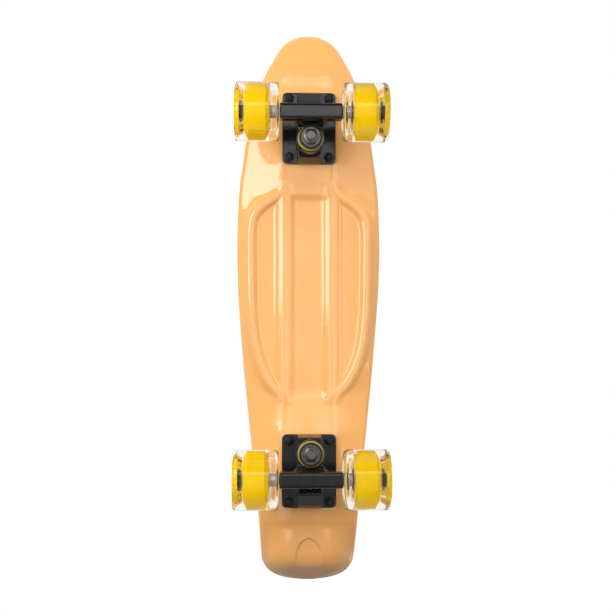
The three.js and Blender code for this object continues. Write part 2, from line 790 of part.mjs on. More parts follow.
function upperBushing() {
  const bore = roomFor(kingpinRadius, coreFacets);
  const top = upperBushingTop;
  const bottom = upperBushingTop - upperBushingHeight;
  const edge = upperBushingRadius - upperBushingBulge;
  return turned([
    [bore, bottom], [edge, bottom], [upperBushingRadius, bottom + 3 * upperBushingBulge],
    [upperBushingRadius, top - 3 * upperBushingBulge], [edge, top], [bore, top],
  ], coreFacets);
}

function lowerBushing() {
  const bore = roomFor(kingpinRadius, coreFacets);
  const bottom = lowerBushingTop - lowerBushingHeight;
  return turned([
    [bore, bottom], [lowerBushingFootRadius, bottom], [lowerBushingRadius, lowerBushingTop],
    [bore, lowerBushingTop],
  ], coreFacets);
}

// The web between the hanger's bar and its ring, wide at the bar
function hangerWeb() {
  const end = (y, width, low, high) => [[-1, low], [1, low], [1, high], [-1, high]]
    .map(([side, height]) => new THREE.Vector3((side * width) / 2, y, height));
  const barFace = -axleOffset + barSection / 2;
  const barMiddle = webBarRise - axleDrop;
  const ringMiddle = (ringTop + ringBottom) / 2;
  const ringSpan = [ringMiddle - webRingDepth / 2, ringMiddle + webRingDepth / 2];
  return skin([
    end(barFace - webInset, webBarWidth, barMiddle - webBarDepth / 2, barMiddle + webBarDepth / 2),
    end(kingpinOffset - webWaist, webRingWidth, ...ringSpan),
    end(kingpinOffset - webInset, webRingWidth, ...ringSpan),
  ]);
}

function hangerArm() {
  const ball = [90, 60, 30, 0].map((degrees) => {
    const angle = THREE.MathUtils.degToRad(degrees);
    return [pivotBallRadius * Math.cos(angle), -pivotBallRadius * Math.sin(angle)];
  });
  ball[0][0] = 0;
  return atPivot(turned([
    ...ball, [armNeckRadius, pivotCupMouth], [armRadius, armNeckEnd], [armRadius, armLength], [0, armLength],
  ], smallFacets));
}

function hanger() {
  const barHalf = wheelTrack / 2 - wheelWidth / 2 - wheelSideGap;
  const bossHalf = bearingInnerFace - seatGap;
  const bar = alongX(prism(roundedRectangle(barSection, barSection, barCorner), -barHalf, barHalf));
  const bosses = alongX(disc(axleBossRadius, -bossHalf, bossHalf, smallFacets));
  const axleRoom = roomFor(axleRadius, holeFacets);
  const axleBore = alongX(disc(axleRoom, -bossHalf - cutOverrun, bossHalf + cutOverrun, holeFacets));
  const ring = disc(ringRadius, ringBottom, ringTop, coreFacets);
  const ringBore = disc(ringBoreRadius, ringBottom - cutOverrun, ringTop + cutOverrun, coreFacets);
  const blank = join(
    solid(bar.translate(0, -axleOffset, -axleDrop)),
    solid(bosses.translate(0, -axleOffset, -axleDrop)),
    solid(ring.translate(0, kingpinOffset, 0)),
    solid(hangerWeb()),
    solid(hangerArm()),
  );
  return geometryOf(cut(
    blank,
    solid(ringBore.translate(0, kingpinOffset, 0)),
    solid(axleBore.translate(0, -axleOffset, -axleDrop)),
  ));
}

// Wheels: turned about Z here, with the side towards the nut at +Z. An outline is given for one side, or for both
function mirrored(outer, inner = outer) {
  return [...outer, ...inner.slice().reverse().map(([radius, height]) => [radius, -height])];
}

function tyre() {
  const face = wheelWidth / 2;
  const edge = wheelEdgeRadius;
  const arc = [0, 45, 90].map((degrees) => {
    const angle = THREE.MathUtils.degToRad(degrees);
    return [wheelRadius - edge + edge * Math.sin(angle), face - edge + edge * Math.cos(angle)];
  });
  const floor = coreWidth / 2 + wheelLip;
  const seat = [
    [roomFor(coreRadius, tyreFacets), coreRimWidth / 2 + seatGap],
    [roomFor(coreHubRadius, tyreFacets), coreWidth / 2 + seatGap],
    [coreHubRadius + wheelLip, floor],
  ];
  const slope = [
    [outerHollowRadius, floor],
    [outerThroatRadius, face - outerSlopeDepth],
    [wheelFaceRadius - wheelLip, face - wheelLip / 2],
  ];
  const straight = [[innerHollowRadius, floor], [innerHollowRadius, face]];
  return turned(mirrored([...seat, ...slope, ...arc], [...seat, ...straight, ...arc]), tyreFacets);
}

function wheelCore() {
  const seat = roomFor(bearingRadius, coreFacets);
  const shoulder = coreWidth / 2 - bearingWidth - seatGap;
  return turned(mirrored([
    [coreBoreRadius, shoulder], [seat, shoulder], [seat, coreWidth / 2], [coreHubRadius, coreWidth / 2],
    [coreRadius, coreRimWidth / 2],
  ]), coreFacets);
}

function bearing() {
  const bore = roomFor(axleRadius, smallFacets, bearingBoreGap);
  const half = bearingWidth / 2;
  const shield = half - bearingShieldInset;
  return turned(mirrored([
    [bore, half], [bore + bearingRingWall, half], [bore + bearingRingWall, shield],
    [bearingRadius - bearingRingWall, shield], [bearingRadius - bearingRingWall, half], [bearingRadius, half],
  ]), smallFacets);
}

function wheel(name) {
  const group = new THREE.Group();
  const offset = coreWidth / 2 - bearingWidth / 2;
  const inner = named(`${name}_inner_bearing`, bearing(), blackRubber);
  const outer = named(`${name}_outer_bearing`, bearing(), blackRubber);
  inner.position.z = -offset;
  outer.position.z = offset;
  group.add(named(`${name}_tyre`, tyre(), clearUrethane), named(`${name}_core`, wheelCore(), yellowPlastic));
  group.add(inner, outer);
  return group;
}

function axle() {
  const half = wheelTrack / 2 + wheelWidth / 2 - axleTip;
  return alongX(disc(axleRadius, -half, half, smallFacets));
}

function named(name, geometry, material) {
  const mesh = new THREE.Mesh(closed(geometry), material);
  mesh.name = name;
  return mesh;
}

function kingpinStack(name) {
  const group = new THREE.Group();
  const nut = named(`${name}_kingpin_nut`, nutGeometry(kingpinNutFlats, kingpinRadius, kingpinNutHeight), plainSteel);
  nut.position.z = kingpinNutTop;
  nut.rotation.x = Math.PI;
  const upperCup = named(`${name}_upper_cup_washer`, cupWasher(upperCupRadius, upperCupHeight, upperCupBase, -1),
    blackSteel);
  upperCup.position.z = upperCupTop;
  const lowerCup = named(`${name}_lower_cup_washer`, cupWasher(lowerCupRadius, lowerCupHeight, lowerCupBase, 1),
    plainSteel);
  lowerCup.position.z = lowerCupBottom;
  group.add(
    named(`${name}_kingpin`, kingpin(), plainSteel),
    nut,
    upperCup,
    lowerCup,
    named(`${name}_upper_bushing`, upperBushing(), oliveUrethane),
    named(`${name}_lower_bushing`, lowerBushing(), oliveUrethane),
  );
  group.position.y = kingpinOffset;
  return group;
}

function truck({ name, fromNose, turn }) {
  const group = new THREE.Group();
  group.add(named(`${name}_base_plate`, basePlate(), blackPaint));
  group.add(named(`${name}_pivot_cup`, pivotCup(), blackRubber));
  group.add(kingpinStack(name));
  group.add(named(`${name}_hanger`, hanger(), blackPaint));

  const wheelset = new THREE.Group();
  wheelset.position.set(0, -axleOffset, -axleDrop);
  wheelset.add(named(`${name}_axle`, axle(), blackSteel));
  [1, -1].forEach((side) => {
    // Seen by the rider, who faces the nose, +X is the left side
    const sideName = side * Math.cos(turn) > 0 ? "left" : "right";
    const end = new THREE.Group();
    end.rotation.y = (side * Math.PI) / 2;
    const onAxle = wheel(`${name}_${sideName}`);
    onAxle.position.z = wheelTrack / 2;
    const nut = named(`${name}_${sideName}_axle_nut`, nutGeometry(axleNutFlats, axleRadius, axleNutHeight), blackSteel);
    nut.position.z = bearingOuterFace + seatGap;
    end.add(onAxle, nut);
    wheelset.add(end);
  });
  group.add(wheelset);

  group.rotation.z = turn;
  group.position.set(0, yOf(fromNose), padHeight);
  return group;
}

const skateboard = new THREE.Group();
skateboard.name = "cruiser_skateboard";
skateboard.add(named("deck", deck(), deckPlastic));
plateCentres.forEach((plate) => skateboard.add(fasteners(plate), truck(plate)));

export default skateboard;
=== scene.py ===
# Looks of a cruiser skateboard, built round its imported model.
# Shapes are made in millimetres, in the frame of the model, and become metres when they are placed.
import math

import bpy
import numpy as np
from mathutils import Matrix, Vector


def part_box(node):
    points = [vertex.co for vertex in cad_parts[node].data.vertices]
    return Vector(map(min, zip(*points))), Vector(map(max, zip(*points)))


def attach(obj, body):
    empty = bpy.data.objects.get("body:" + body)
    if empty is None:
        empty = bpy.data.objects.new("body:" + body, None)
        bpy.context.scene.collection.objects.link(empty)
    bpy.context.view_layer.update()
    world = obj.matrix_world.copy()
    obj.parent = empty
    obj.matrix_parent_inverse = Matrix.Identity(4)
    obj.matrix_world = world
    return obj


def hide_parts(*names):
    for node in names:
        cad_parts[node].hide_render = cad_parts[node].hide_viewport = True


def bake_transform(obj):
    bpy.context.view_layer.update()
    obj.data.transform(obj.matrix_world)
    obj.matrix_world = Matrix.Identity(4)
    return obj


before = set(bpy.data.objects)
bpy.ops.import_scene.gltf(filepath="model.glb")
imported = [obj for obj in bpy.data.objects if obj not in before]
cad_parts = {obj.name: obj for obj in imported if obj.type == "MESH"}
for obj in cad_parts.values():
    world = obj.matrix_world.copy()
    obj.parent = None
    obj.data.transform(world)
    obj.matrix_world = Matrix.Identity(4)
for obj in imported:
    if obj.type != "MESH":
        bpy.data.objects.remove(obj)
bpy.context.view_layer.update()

MM = 0.001


def box_mm(node):
    """Lowest and highest corner of a node of the model, in millimetres."""
    low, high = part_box(node)
    return np.array(low) / MM, np.array(high) / MM


# Gap between pieces that rest on one another
SEAT_GAP = 0.3

# Sizes read from the model
deck_low, deck_high = box_mm("deck")
front_low, front_high = box_mm("front_base_plate")
rear_low, rear_high = box_mm("rear_base_plate")
axle_low, axle_high = box_mm("front_axle")
tyre_low, tyre_high = box_mm("front_left_tyre")
core_low, core_high = box_mm("front_left_core")
bearing_low, bearing_high = box_mm("front_left_outer_bearing")

LENGTH = deck_high[1] - deck_low[1]
HALF_WIDTH = (deck_high[0] - deck_low[0]) / 2
PAD_HEIGHT = front_high[2] + SEAT_GAP
PLATE_WIDTH = front_high[0] - front_low[0]
PLATE_LENGTH = front_high[1] - front_low[1]
FRONT_FROM_NOSE = (front_low[1] + front_high[1]) / 2 + LENGTH / 2
REAR_FROM_NOSE = (rear_low[1] + rear_high[1]) / 2 + LENGTH / 2
AXLE_DROP = PAD_HEIGHT - (axle_low[2] + axle_high[2]) / 2
WHEEL_RADIUS = (tyre_high[1] - tyre_low[1]) / 2
WHEEL_WIDTH = tyre_high[0] - tyre_low[0]
WHEEL_TRACK = tyre_high[0] + tyre_low[0]
CORE_WIDTH = core_high[0] - core_low[0]
BEARING_WIDTH = bearing_high[0] - bearing_low[0]

# Deck
DECK_DEPTH = 18.8
RIM_THICKNESS = 11
RIM_ROUNDING = 4.5
RIM_BAND = 7.5
DISH_DEPTH = 4
DISH_RUN = 11
UNDERSIDE_RUN = 20
LEAST_SLOPE_RUN = 0.5
SLOPE_CORNER_SHARE = 0.9
PLATEAU_HALF = 28.3
PLATEAU_TIP_SHARE = 0.6
FOLD_ROUNDING = 1.5
END_FOLD_ROUNDING = 9
NOSE_FOLD_RUN = 50
RIM_ABOVE_PAD = 22.5
NOSE_DROP = 7
KICK_LENGTH = 65
KICK_RISE = 24.5
TIP_HALF_WIDTH = 5
DISC_RADIUS = 28
DISC_PROUD = 0.4
DISC_FROM_NOSE = 279
RIB_PROUD = 1.4
PANEL_RECESS = 1.9
PANEL_END_RUNS = (8, 13)
INNER_RIB_OFFSET = 24.7
INNER_RIB_REACH = 13
OUTER_RIB_REACH = 10
OUTER_RIB_INNER_REACH = 7.6
RIB_FLANK_SHARE = 0.66
PAD_MARGIN = 1.5
PAD_RUN = 0.14
PAD_FILLET = 1.2
PLATE_CORNER = 5
RECESS_HALF = 13.6
RECESS_ARCH = 19
RECESS_DEPTH = 1.6
RECESS_WALL = 1.4
RECESS_FADE = 2.5
RECESS_LENGTH = 32
RECESS_FROM_TAIL = 14.5

# Deck tables: a share of the deck's length from the nose, or of the kick's length, and a value
HALF_WIDTH_SHARES = [
    (0, 0.067), (0.0014, 0.145), (0.0052, 0.213), (0.0105, 0.29), (0.0166, 0.347), (0.0271, 0.413),
    (0.049, 0.515), (0.07, 0.604), (0.0927, 0.68), (0.1137, 0.74), (0.175, 0.853), (0.245, 0.933),
    (0.287, 0.973), (0.35, 0.995), (0.395, 1), (0.455, 0.987), (0.525, 0.951), (0.612, 0.896),
    (0.7, 0.827), (0.787, 0.757), (0.852, 0.703), (0.896, 0.673), (0.938, 0.653), (0.961, 0.636),
    (0.973, 0.595), (0.982, 0.54), (0.9905, 0.435), (0.9965, 0.28), (1, 0.067),
]
CAMBER_SHARES = [
    (0, -1), (0.0875, -0.57), (0.175, -0.29), (0.26, -0.1), (0.35, 0), (0.525, 0), (0.61, -0.07),
    (0.7, -0.21), (0.7875, -0.43), (0.875, -0.64), (1, -0.64),
]
DEPTH_SHARES = [
    (0, 0.55), (0.0166, 0.66), (0.0385, 0.79), (0.061, 0.91), (0.0875, 0.97), (0.175, 1), (0.26, 0.985),
    (0.35, 0.947), (0.577, 0.947), (0.7, 0.968), (0.7875, 0.984), (0.857, 0.96), (0.91, 0.9),
    (0.955, 0.82), (0.98, 0.68), (1, 0.48),
]
RIM_SHARES = [(0, 0.8), (0.02, 1), (0.97, 1), (0.99, 0.86), (1, 0.7)]
KICK_SHARES = [(-0.2, 0), (0, 0.035), (0.15, 0.16), (0.5, 0.635), (0.72, 0.91), (0.86, 0.985), (1, 1)]
OUTER_RIB_SHARES = [
    (0.292, 0.33), (0.2985, 0.41), (0.3075, 0.53), (0.32, 0.662), (0.333, 0.748), (0.35, 0.788),
    (0.376, 0.802), (0.486, 0.793), (0.559, 0.75), (0.607, 0.652), (0.638, 0.527), (0.661, 0.35),
]

# Where the inner ribs and the panel between them start and end, as shares of the deck's length
INNER_RIB_SHARES = (0.29, 0.661)
PANEL_SHARES = (0.302, 0.664)

# Waffle on the deck's top
WAFFLE_ACROSS = 10.3
WAFFLE_ALONG = 6.6
WAFFLE_STEP = 2.4
RIDGE_HEIGHT = 0.42
RIDGE_FOOT = 0.62
RIDGE_TOP = 0.24
RIDGE_SINK = 0.3
RIDGE_FROM_EDGE = 9
RIDGE_FROM_DISC = 1
RIDGE_FROM_BOLT = 1.6
RIDGE_FADE = 3

# Deck bolts
BOLT_FROM_PLATE_SIDE = 7.1
BOLT_FROM_PLATE_END = 6.5
BOLT_RADIUS = 2.5
BOLT_BORE = BOLT_RADIUS + SEAT_GAP
BOLT_HEAD_RADIUS = 4.5
BOLT_HEAD_HEIGHT = 2.6
BOLT_TIP = 1.5
BOLT_TURN = 0.5
HOLE_PAST_PAD = 3
HOLE_PAST_TOP = 6
DECK_NUT_FLATS = 9
DECK_NUT_HEIGHT = 4.6
DECK_NUT_TURN = 0.35

# Width, length and corner of the bolts' cross drive at its floor and its mouth, and the floor's height
DRIVE_FLOOR = (3.2, 0.9, 0.3)
DRIVE_MOUTH = (5.2, 1.5, 0.4)
DRIVE_FLOOR_HEIGHT = 0.9

# Nuts, as shares of their width over the flats or of their height
NUT_FACE_SHARE = 0.475
NUT_COLLAR_SHARE = 0.43
NUT_BODY_SHARE = 0.68
NUT_CHAMFER = math.radians(30)

# Trucks, measured down from the pad and from the plate's middle towards the board's
PLATE_THICKNESS = 5
PLATE_BODY_WIDTH = 24
PLATE_BODY_STEP = 2.5
PLATE_BODY_HEEL = 1.6
PLATE_HOLE_LEVELS = (-12, 3)
KINGPIN_OFFSET = PLATE_LENGTH / 2 - 17.5
BOSS_RADIUS = 13
BOSS_DEPTH = 22.5
BOSS_TOP = -3
VALLEY_DEPTH = 12.8
PIVOT_OFFSET = 15.5
PIVOT_DEPTH = 18.5
PIVOT_ANGLE = math.radians(30)
PIVOT_CUP_RADIUS = 7.5
PIVOT_CUP_MOUTH = 3.5
PIVOT_CUP_DEPTH = 7.4
PIVOT_SOCKET_LEVELS = (-7.6, 20)
PIVOT_BLOCK_WALL = 2
PIVOT_BLOCK_BACK = (3.2, 9.5)
KINGPIN_RADIUS = 5
KINGPIN_BORE = KINGPIN_RADIUS + SEAT_GAP
KINGPIN_HEAD_RADIUS = 8
KINGPIN_HEAD_HEIGHT = 5
KINGPIN_TOP = -1.5
KINGPIN_TIP = 1.5
KINGPIN_POCKET_RADIUS = 9.3
KINGPIN_POCKET_LEVELS = (-30, -8, 3)

# Washers as radius, height and base; upper bushing and flange as radius and height
UPPER_CUP = (13, 3.4, 1.6)
LOWER_CUP = (11.8, 3, 1.8)
CUP_RIM = 2.4
# Width of the black band round the lower washer's face: painted shade for the dark gap between the washer and
# the bushing
CUP_PAINTED_SHADE_RIM = 2.2
UPPER_BUSHING = (11.6, 10.6)
FLANGE = (12.9, 1.2)

# The hanger's ring as radius, height and bore; lower bushing as both radii and height
RING = (14, 10, 7.5)
LOWER_BUSHING = (9, 8.4, 4.6)

# The hanger's arm, from the ball that sits in the pivot cup, as radius and distance from the ball's middle
ARM = [(0, -5), (2.5, -4.4), (4.4, -2.4), (5, 0), (4.6, 3.5), (6.3, 8), (6.3, 35), (0, 35)]

# The hanger's web as width and depth at the bar and the ring, and where it starts and ends
WEB_AT_BAR = (41, 11)
WEB_AT_RING = (25, 8.6)
WEB_RISE = 2
WEB_SINK = 3
WEB_STEP = 11.6

# Kingpin nut, hanger's bar and axle
KINGPIN_NUT_FLATS = 14
KINGPIN_NUT_HEIGHT = 8
BAR_SECTION = 16
BAR_CORNER = 3.2
BAR_FROM_WHEEL = 0.6
PAINT_FROM_WHEEL = 0.4
BORE_REACH = 60
RING_BORE_END = -20
AXLE_OFFSET = 4.3
AXLE_BOSS_RADIUS = 6.5
AXLE_RADIUS = 4
AXLE_NUT_FLATS = 13
AXLE_NUT_HEIGHT = 7.6

# Wheels
BEARING_RADIUS = 11
BEARING_RACE = 2
SHIELD_SINK = 0.5
CORE_BORE_RADIUS = 8
CORE_RADIUS = 18.75
CORE_RIM_WIDTH = 17
CORE_HUB_RADIUS = 13.5
WHEEL_EDGE = 4
WHEEL_FACE_RADIUS = 25.5
WHEEL_LIP = 0.8
OUTER_HOLLOW_RADIUS = 14.5
OUTER_THROAT_RADIUS = 16.5
OUTER_SLOPE_DEPTH = 5
INNER_HOLLOW_RADIUS = 21.5
TYRE_GRIP = 0.15

# Fineness
WHEEL_SEGMENTS = 128
TURNED_SEGMENTS = 64
NUT_SEGMENTS = 96
BORE_SEGMENTS = 48
HOLE_SEGMENTS = 32
OUTLINE_POINTS = 260
RIB_POINTS = 120
FIRST_STEP = 0.15
STEP_GROWTH = 1.22
COARSE_STEP = 2.2
FINE_STEP = 1.0
KICK_STEP = 1.3
END_STEP = 1.6
END_REACH = 19
FINE_MARGIN = 8
FRONT_FINE_RUN = 48
REAR_FINE_RUN = 34
TOP_REACH = 9
TOP_COARSE_RANGE = (10, 21, 2.0)
TOP_COLUMNS = 42
UNDERSIDE_REACH = 22
UNDERSIDE_COLUMNS = 96
CAST_VOXEL = 0.5
CAST_SMOOTHINGS = 5
CAST_KEEP = 0.35
SHARP_ANGLE = math.radians(35)

# Corners of a square, and a matrix that turns a shape over
SQUARE = [(-1, -1), (1, -1), (1, 1), (-1, 1)]
UPSIDE_DOWN = Matrix.Rotation(math.pi, 4, "X")

# How much of a side a rounded corner may take up, and the steps along its curve
CORNER_SHARE = 0.45
CORNER_STEPS = (0, 0.33, 0.67, 1)


# Number helpers
def smooth_step(value):
    t = np.clip(value, 0, 1)
    return t * t * (3 - 2 * t)


def share_past(distance, run=1):
    """From 0 to 1 over a run whose middle lies at distance 0."""
    return smooth_step(distance / run + 0.5)


def smooth_table(table, at):
    """A smooth curve through a table's points that never overshoots them."""
    keys, values = np.array(table, float).T
    spans = np.diff(keys)
    slopes = np.diff(values) / spans
    product = slopes[:-1] * slopes[1:]
    total = np.where(product > 0, slopes[:-1] + slopes[1:], 1)
    tangents = np.concatenate([slopes[:1], np.where(product > 0, 2 * product / total, 0), slopes[-1:]])
    at = np.clip(at, keys[0], keys[-1])
    i = np.clip(np.searchsorted(keys, at, side="right") - 1, 0, len(spans) - 1)
    t = (at - keys[i]) / spans[i]
    curve = spans[i] * t * (1 - t) * (tangents[i] * (1 - t) - tangents[i + 1] * t)
    return values[i] + (values[i + 1] - values[i]) * smooth_step(t) + curve


def lower_of(a, b, fillet):
    """The lower of two heights, with a fillet where they meet."""
    near = np.maximum(fillet - np.abs(a - b), 0) / fillet
    return np.minimum(a, b) - near**2 * fillet / 4


def distance_to_line(across, along, line):
    """Distance of points to a line of [across, along] corners."""
    points = np.stack([across, along], axis=-1)
    least = np.full(np.shape(across), np.inf)
    for start, end in zip(line[:-1], line[1:]):
        run = end - start
        share = np.clip(((points - start) @ run) / max(run @ run, 1e-12), 0, 1)
        gap = points - start - share[..., None] * run
        least = np.minimum(least, np.hypot(gap[..., 0], gap[..., 1]))
    return least


# Deck surfaces, by distance across and distance from the nose
def half_width_at(s):
    tip = HALF_WIDTH_SHARES[0][1]
    body = (smooth_table(HALF_WIDTH_SHARES, s / LENGTH) - tip) / (1 - tip)
    return TIP_HALF_WIDTH + (HALF_WIDTH - TIP_HALF_WIDTH) * body


def outer_rib_at(s):
    """The outer rib's middle line, as a distance across."""
    return HALF_WIDTH * smooth_table(OUTER_RIB_SHARES, s / LENGTH)


def side_line(width_at, along):
    """Points on one side of the deck, at the distance across that a function gives."""
    return np.stack([width_at(along), along], axis=-1)


# The outline's points lie closer together at the deck's ends
OUTLINE = side_line(half_width_at, LENGTH * (1 - np.cos(np.linspace(0, math.pi, OUTLINE_POINTS))) / 2)
RIB_ENDS = OUTER_RIB_SHARES[0][0], OUTER_RIB_SHARES[-1][0]
OUTER_RIB_LINE = side_line(outer_rib_at, LENGTH * np.linspace(*RIB_ENDS, RIB_POINTS))


def edge_distance(x, s):
    ends = np.minimum(s, LENGTH - s)
    return np.minimum(distance_to_line(np.abs(x), s, OUTLINE), ends)


def rim_top_at(s):
    camber = NOSE_DROP * smooth_table(CAMBER_SHARES, s / LENGTH)
    kick = KICK_RISE * smooth_table(KICK_SHARES, (s - LENGTH + KICK_LENGTH) / KICK_LENGTH)
    return PAD_HEIGHT + RIM_ABOVE_PAD + camber + kick


def rim_at(s):
    return RIM_THICKNESS * smooth_table(RIM_SHARES, s / LENGTH)


def rounding_drop(inset):
    """How far the rounding of the rim's edge lowers the top."""
    short = np.maximum(0, RIM_ROUNDING - inset)
    return RIM_ROUNDING - np.sqrt(RIM_ROUNDING**2 - short**2)


def top_height(x, s, inset):
    dish = DISH_DEPTH * smooth_step((inset - RIM_BAND) / DISH_RUN)
    disc = DISC_PROUD * share_past(DISC_RADIUS - np.hypot(x, s - DISC_FROM_NOSE), 2 * DISC_PROUD)
    return np.minimum(rim_top_at(s) - rounding_drop(inset) - dish + disc, deck_high[2])


def plateau_half_at(s):
    """Half the width of the underside's flat middle, which reaches out to the outer ribs beside them."""
    share = s / LENGTH
    beside = (share > RIB_ENDS[0]) & (share < RIB_ENDS[1])
    plain = np.minimum(PLATEAU_HALF, half_width_at(s) * PLATEAU_TIP_SHARE)
    return np.maximum(plain, np.where(beside, outer_rib_at(s), 0))


def plateau_level(s):
    """Height of the underside's flat middle, which dips a little to the mounting pads."""
    level = rim_top_at(s) - np.maximum(rim_at(s), DECK_DEPTH * smooth_table(DEPTH_SHARES, s / LENGTH))
    for centre in (FRONT_FROM_NOSE, REAR_FROM_NOSE):
        past = np.abs(s - centre) - PLATE_LENGTH / 2 - PAD_MARGIN
        level = lower_of(level, PAD_HEIGHT + PAD_RUN * np.maximum(past, 0), PAD_FILLET)
    return level


def underside_skin(x, s, inset):
    """The underside without its ribs: a rim, side slopes and a flat middle."""
    rim = rim_at(s)
    full = rim_top_at(s) - plateau_level(s)
    start = RIM_ROUNDING / 2
    half = half_width_at(s)
    run = np.maximum(half - plateau_half_at(s) - start, LEAST_SLOPE_RUN)
    beside = (half - np.abs(x) - start) / run
    ahead = (np.minimum(s, LENGTH - s) - start) / UNDERSIDE_RUN
    slope = rim + (full - rim) * lower_of(beside, ahead, SLOPE_CORNER_SHARE)
    to_tail = smooth_step((s - REAR_FROM_NOSE) / (LENGTH - KICK_LENGTH - REAR_FROM_NOSE))
    to_nose = smooth_step((FRONT_FROM_NOSE - s) / NOSE_FOLD_RUN)
    rounding = FOLD_ROUNDING + (END_FOLD_ROUNDING - FOLD_ROUNDING) * np.maximum(to_tail, to_nose)
    fall = lower_of(np.maximum(slope, rim), full, rounding)
    return rim_top_at(s) - fall + rounding_drop(inset) * (rim / RIM_THICKNESS)


def panel_share(side, s):
    """How much of a point lies in a recessed panel, from 0 to 1. Side is the distance across."""
    first, last = np.array(RIB_ENDS) * LENGTH
    flanks = share_past(side - INNER_RIB_OFFSET) * share_past(outer_rib_at(s) - side)
    loop = flanks * ((s > first) & (s < last))
    start, end = np.array(PANEL_SHARES) * LENGTH
    front_run, rear_run = PANEL_END_RUNS
    ends = share_past(s - start, front_run) * share_past(end - s, rear_run)
    return np.maximum(loop, share_past(INNER_RIB_OFFSET - side) * ends)


def rib_share(distance, reach):
    """How much of a rib stands at a distance from its middle line: a round crest, then a hollow foot."""
    flank = reach * RIB_FLANK_SHARE
    crest = 1 - distance**2 / (flank * reach)
    foot = (1 - RIB_FLANK_SHARE) * (np.maximum(reach - distance, 0) / (reach - flank)) ** 2
    return np.where(distance < flank, crest, foot)


def underside_height(x, s, inset):
    """The deck's underside with its panels, ribs, pads and tail hollow."""
    side = np.abs(x)
    skin = underside_skin(x, s, inset)
    level = plateau_level(s)
    height = skin + panel_share(side, s) * np.maximum(0, level + PANEL_RECESS - skin)

    first, last = np.array(INNER_RIB_SHARES) * LENGTH
    past = np.maximum(np.maximum(first - s, s - last), 0)
    inner = np.hypot(side - INNER_RIB_OFFSET, past)
    outer = distance_to_line(side, s, OUTER_RIB_LINE)
    outer_reach = np.where(side < outer_rib_at(s), OUTER_RIB_INNER_REACH, OUTER_RIB_REACH)
    rise = np.maximum(rib_share(inner, INNER_RIB_REACH), rib_share(outer, outer_reach))
    height = height + rise * (level - RIB_PROUD - height)

    far = LENGTH - RECESS_FROM_TAIL
    near = far - RECESS_LENGTH
    bow = np.clip((near + RECESS_ARCH - s) / RECESS_ARCH, 0, 1)
    half = RECESS_HALF * np.sqrt(1 - bow**2)
    fade = np.clip((far - s) / RECESS_LENGTH, 0, 1)
    inside = smooth_step((half - side) / RECESS_WALL) * (s > near)
    return height + inside * RECESS_DEPTH * smooth_step(fade * RECESS_FADE)


# Shapes are pairs: an array of points and a list of faces
def merged(*shapes):
    points, faces, count = [], [], 0
    for shape_points, shape_faces in shapes:
        points.append(shape_points)
        faces.extend([tuple(i + count for i in face) for face in shape_faces])
        count += len(shape_points)
    return np.concatenate(points), faces


def moved(shape, matrix):
    points, faces = shape
    turned = np.array(matrix)
    return points @ turned[:3, :3].T + turned[:3, 3], faces


def shift(x, y, z):
    return Matrix.Translation((x, y, z))


def ring_faces(rings, count, closed=False):
    """Quads between rings of points that follow one another."""
    faces = []
    for i in range(rings if closed else rings - 1):
        a = i * count
        b = ((i + 1) % rings) * count
        faces.extend((a + k, a + (k + 1) % count, b + (k + 1) % count, b + k) for k in range(count))
    return faces


def skin_of(rings):
    """A closed skin over rings of points, with flat ends."""
    count = len(rings[0])
    faces = ring_faces(len(rings), count)
    last = (len(rings) - 1) * count
    faces.append(tuple(reversed(range(count))))
    faces.append(tuple(range(last, last + count)))
    return np.concatenate(rings), faces


def ring_at(radius, height, angles):
    """Points round the Z axis, at one radius and height or at one for each angle."""
    level = np.broadcast_to(height, len(angles))
    return np.stack([radius * np.cos(angles), radius * np.sin(angles), level], axis=-1)


def softened(corners, radius, closed):
    """An outline whose corners are rounded; its ends stay where it is open."""
    corners = [np.array(corner, float) for corner in corners]
    count = len(corners)
    outline = []
    for i, corner in enumerate(corners):
        if not closed and i in (0, count - 1):
            outline.append(corner)
            continue
        before = corners[i - 1] - corner
        after = corners[(i + 1) % count] - corner
        reach = min(radius, CORNER_SHARE * np.linalg.norm(before), CORNER_SHARE * np.linalg.norm(after))
        start = corner + before / np.linalg.norm(before) * reach
        end = corner + after / np.linalg.norm(after) * reach
        for t in CORNER_STEPS:
            outline.append(start * (1 - t) ** 2 + corner * 2 * t * (1 - t) + end * t**2)
    return outline


def lathe(corners, segments=TURNED_SEGMENTS, rounding=0.3):
    """A shape turned about Z from [radius, height] corners, which start and end on the axis or close."""
    on_axis = corners[0][0] == 0 and corners[-1][0] == 0
    outline = np.array(softened(corners, rounding, not on_axis))
    if on_axis:
        outline = outline[1:-1]
    angles = np.linspace(0, 2 * math.pi, segments, endpoint=False)
    rings = [ring_at(radius, height, angles) for radius, height in outline]
    points = np.concatenate(rings)
    faces = ring_faces(len(rings), segments, closed=not on_axis)
    if on_axis:
        last = len(points) - segments
        middle = [[0, 0, corners[0][1]], [0, 0, corners[-1][1]]]
        points = np.concatenate([points, middle])
        low, high = len(points) - 2, len(points) - 1
        for k in range(segments):
            faces.append((low, (k + 1) % segments, k))
            faces.append((high, last + k, last + (k + 1) % segments))
    return points, faces


def cylinders(radii, levels, rounding=0.1, segments=TURNED_SEGMENTS):
    """Cylinders about Z, each reaching from one level to the next."""
    corners = [(0, levels[0])]
    for radius, low, high in zip(radii, levels, levels[1:]):
        corners.extend([(radius, low), (radius, high)])
    return lathe([*corners, (0, levels[-1])], segments, rounding)


def prism(corners, low, high):
    """A straight block along Z over an outline of [x, y] corners."""
    ring = np.array([[x, y, 0] for x, y in corners], float)
    return skin_of([ring + [0, 0, low], ring + [0, 0, high]])


def rounded_rectangle(width, length, corner):
    return softened([(x * width / 2, y * length / 2) for x, y in SQUARE], corner, True)


# Turns a shape built along Z so that it runs along X: its X becomes Y and its Y becomes Z
ALONG_X = Matrix(((0, 0, 1, 0), (1, 0, 0, 0), (0, 1, 0, 0), (0, 0, 0, 1)))


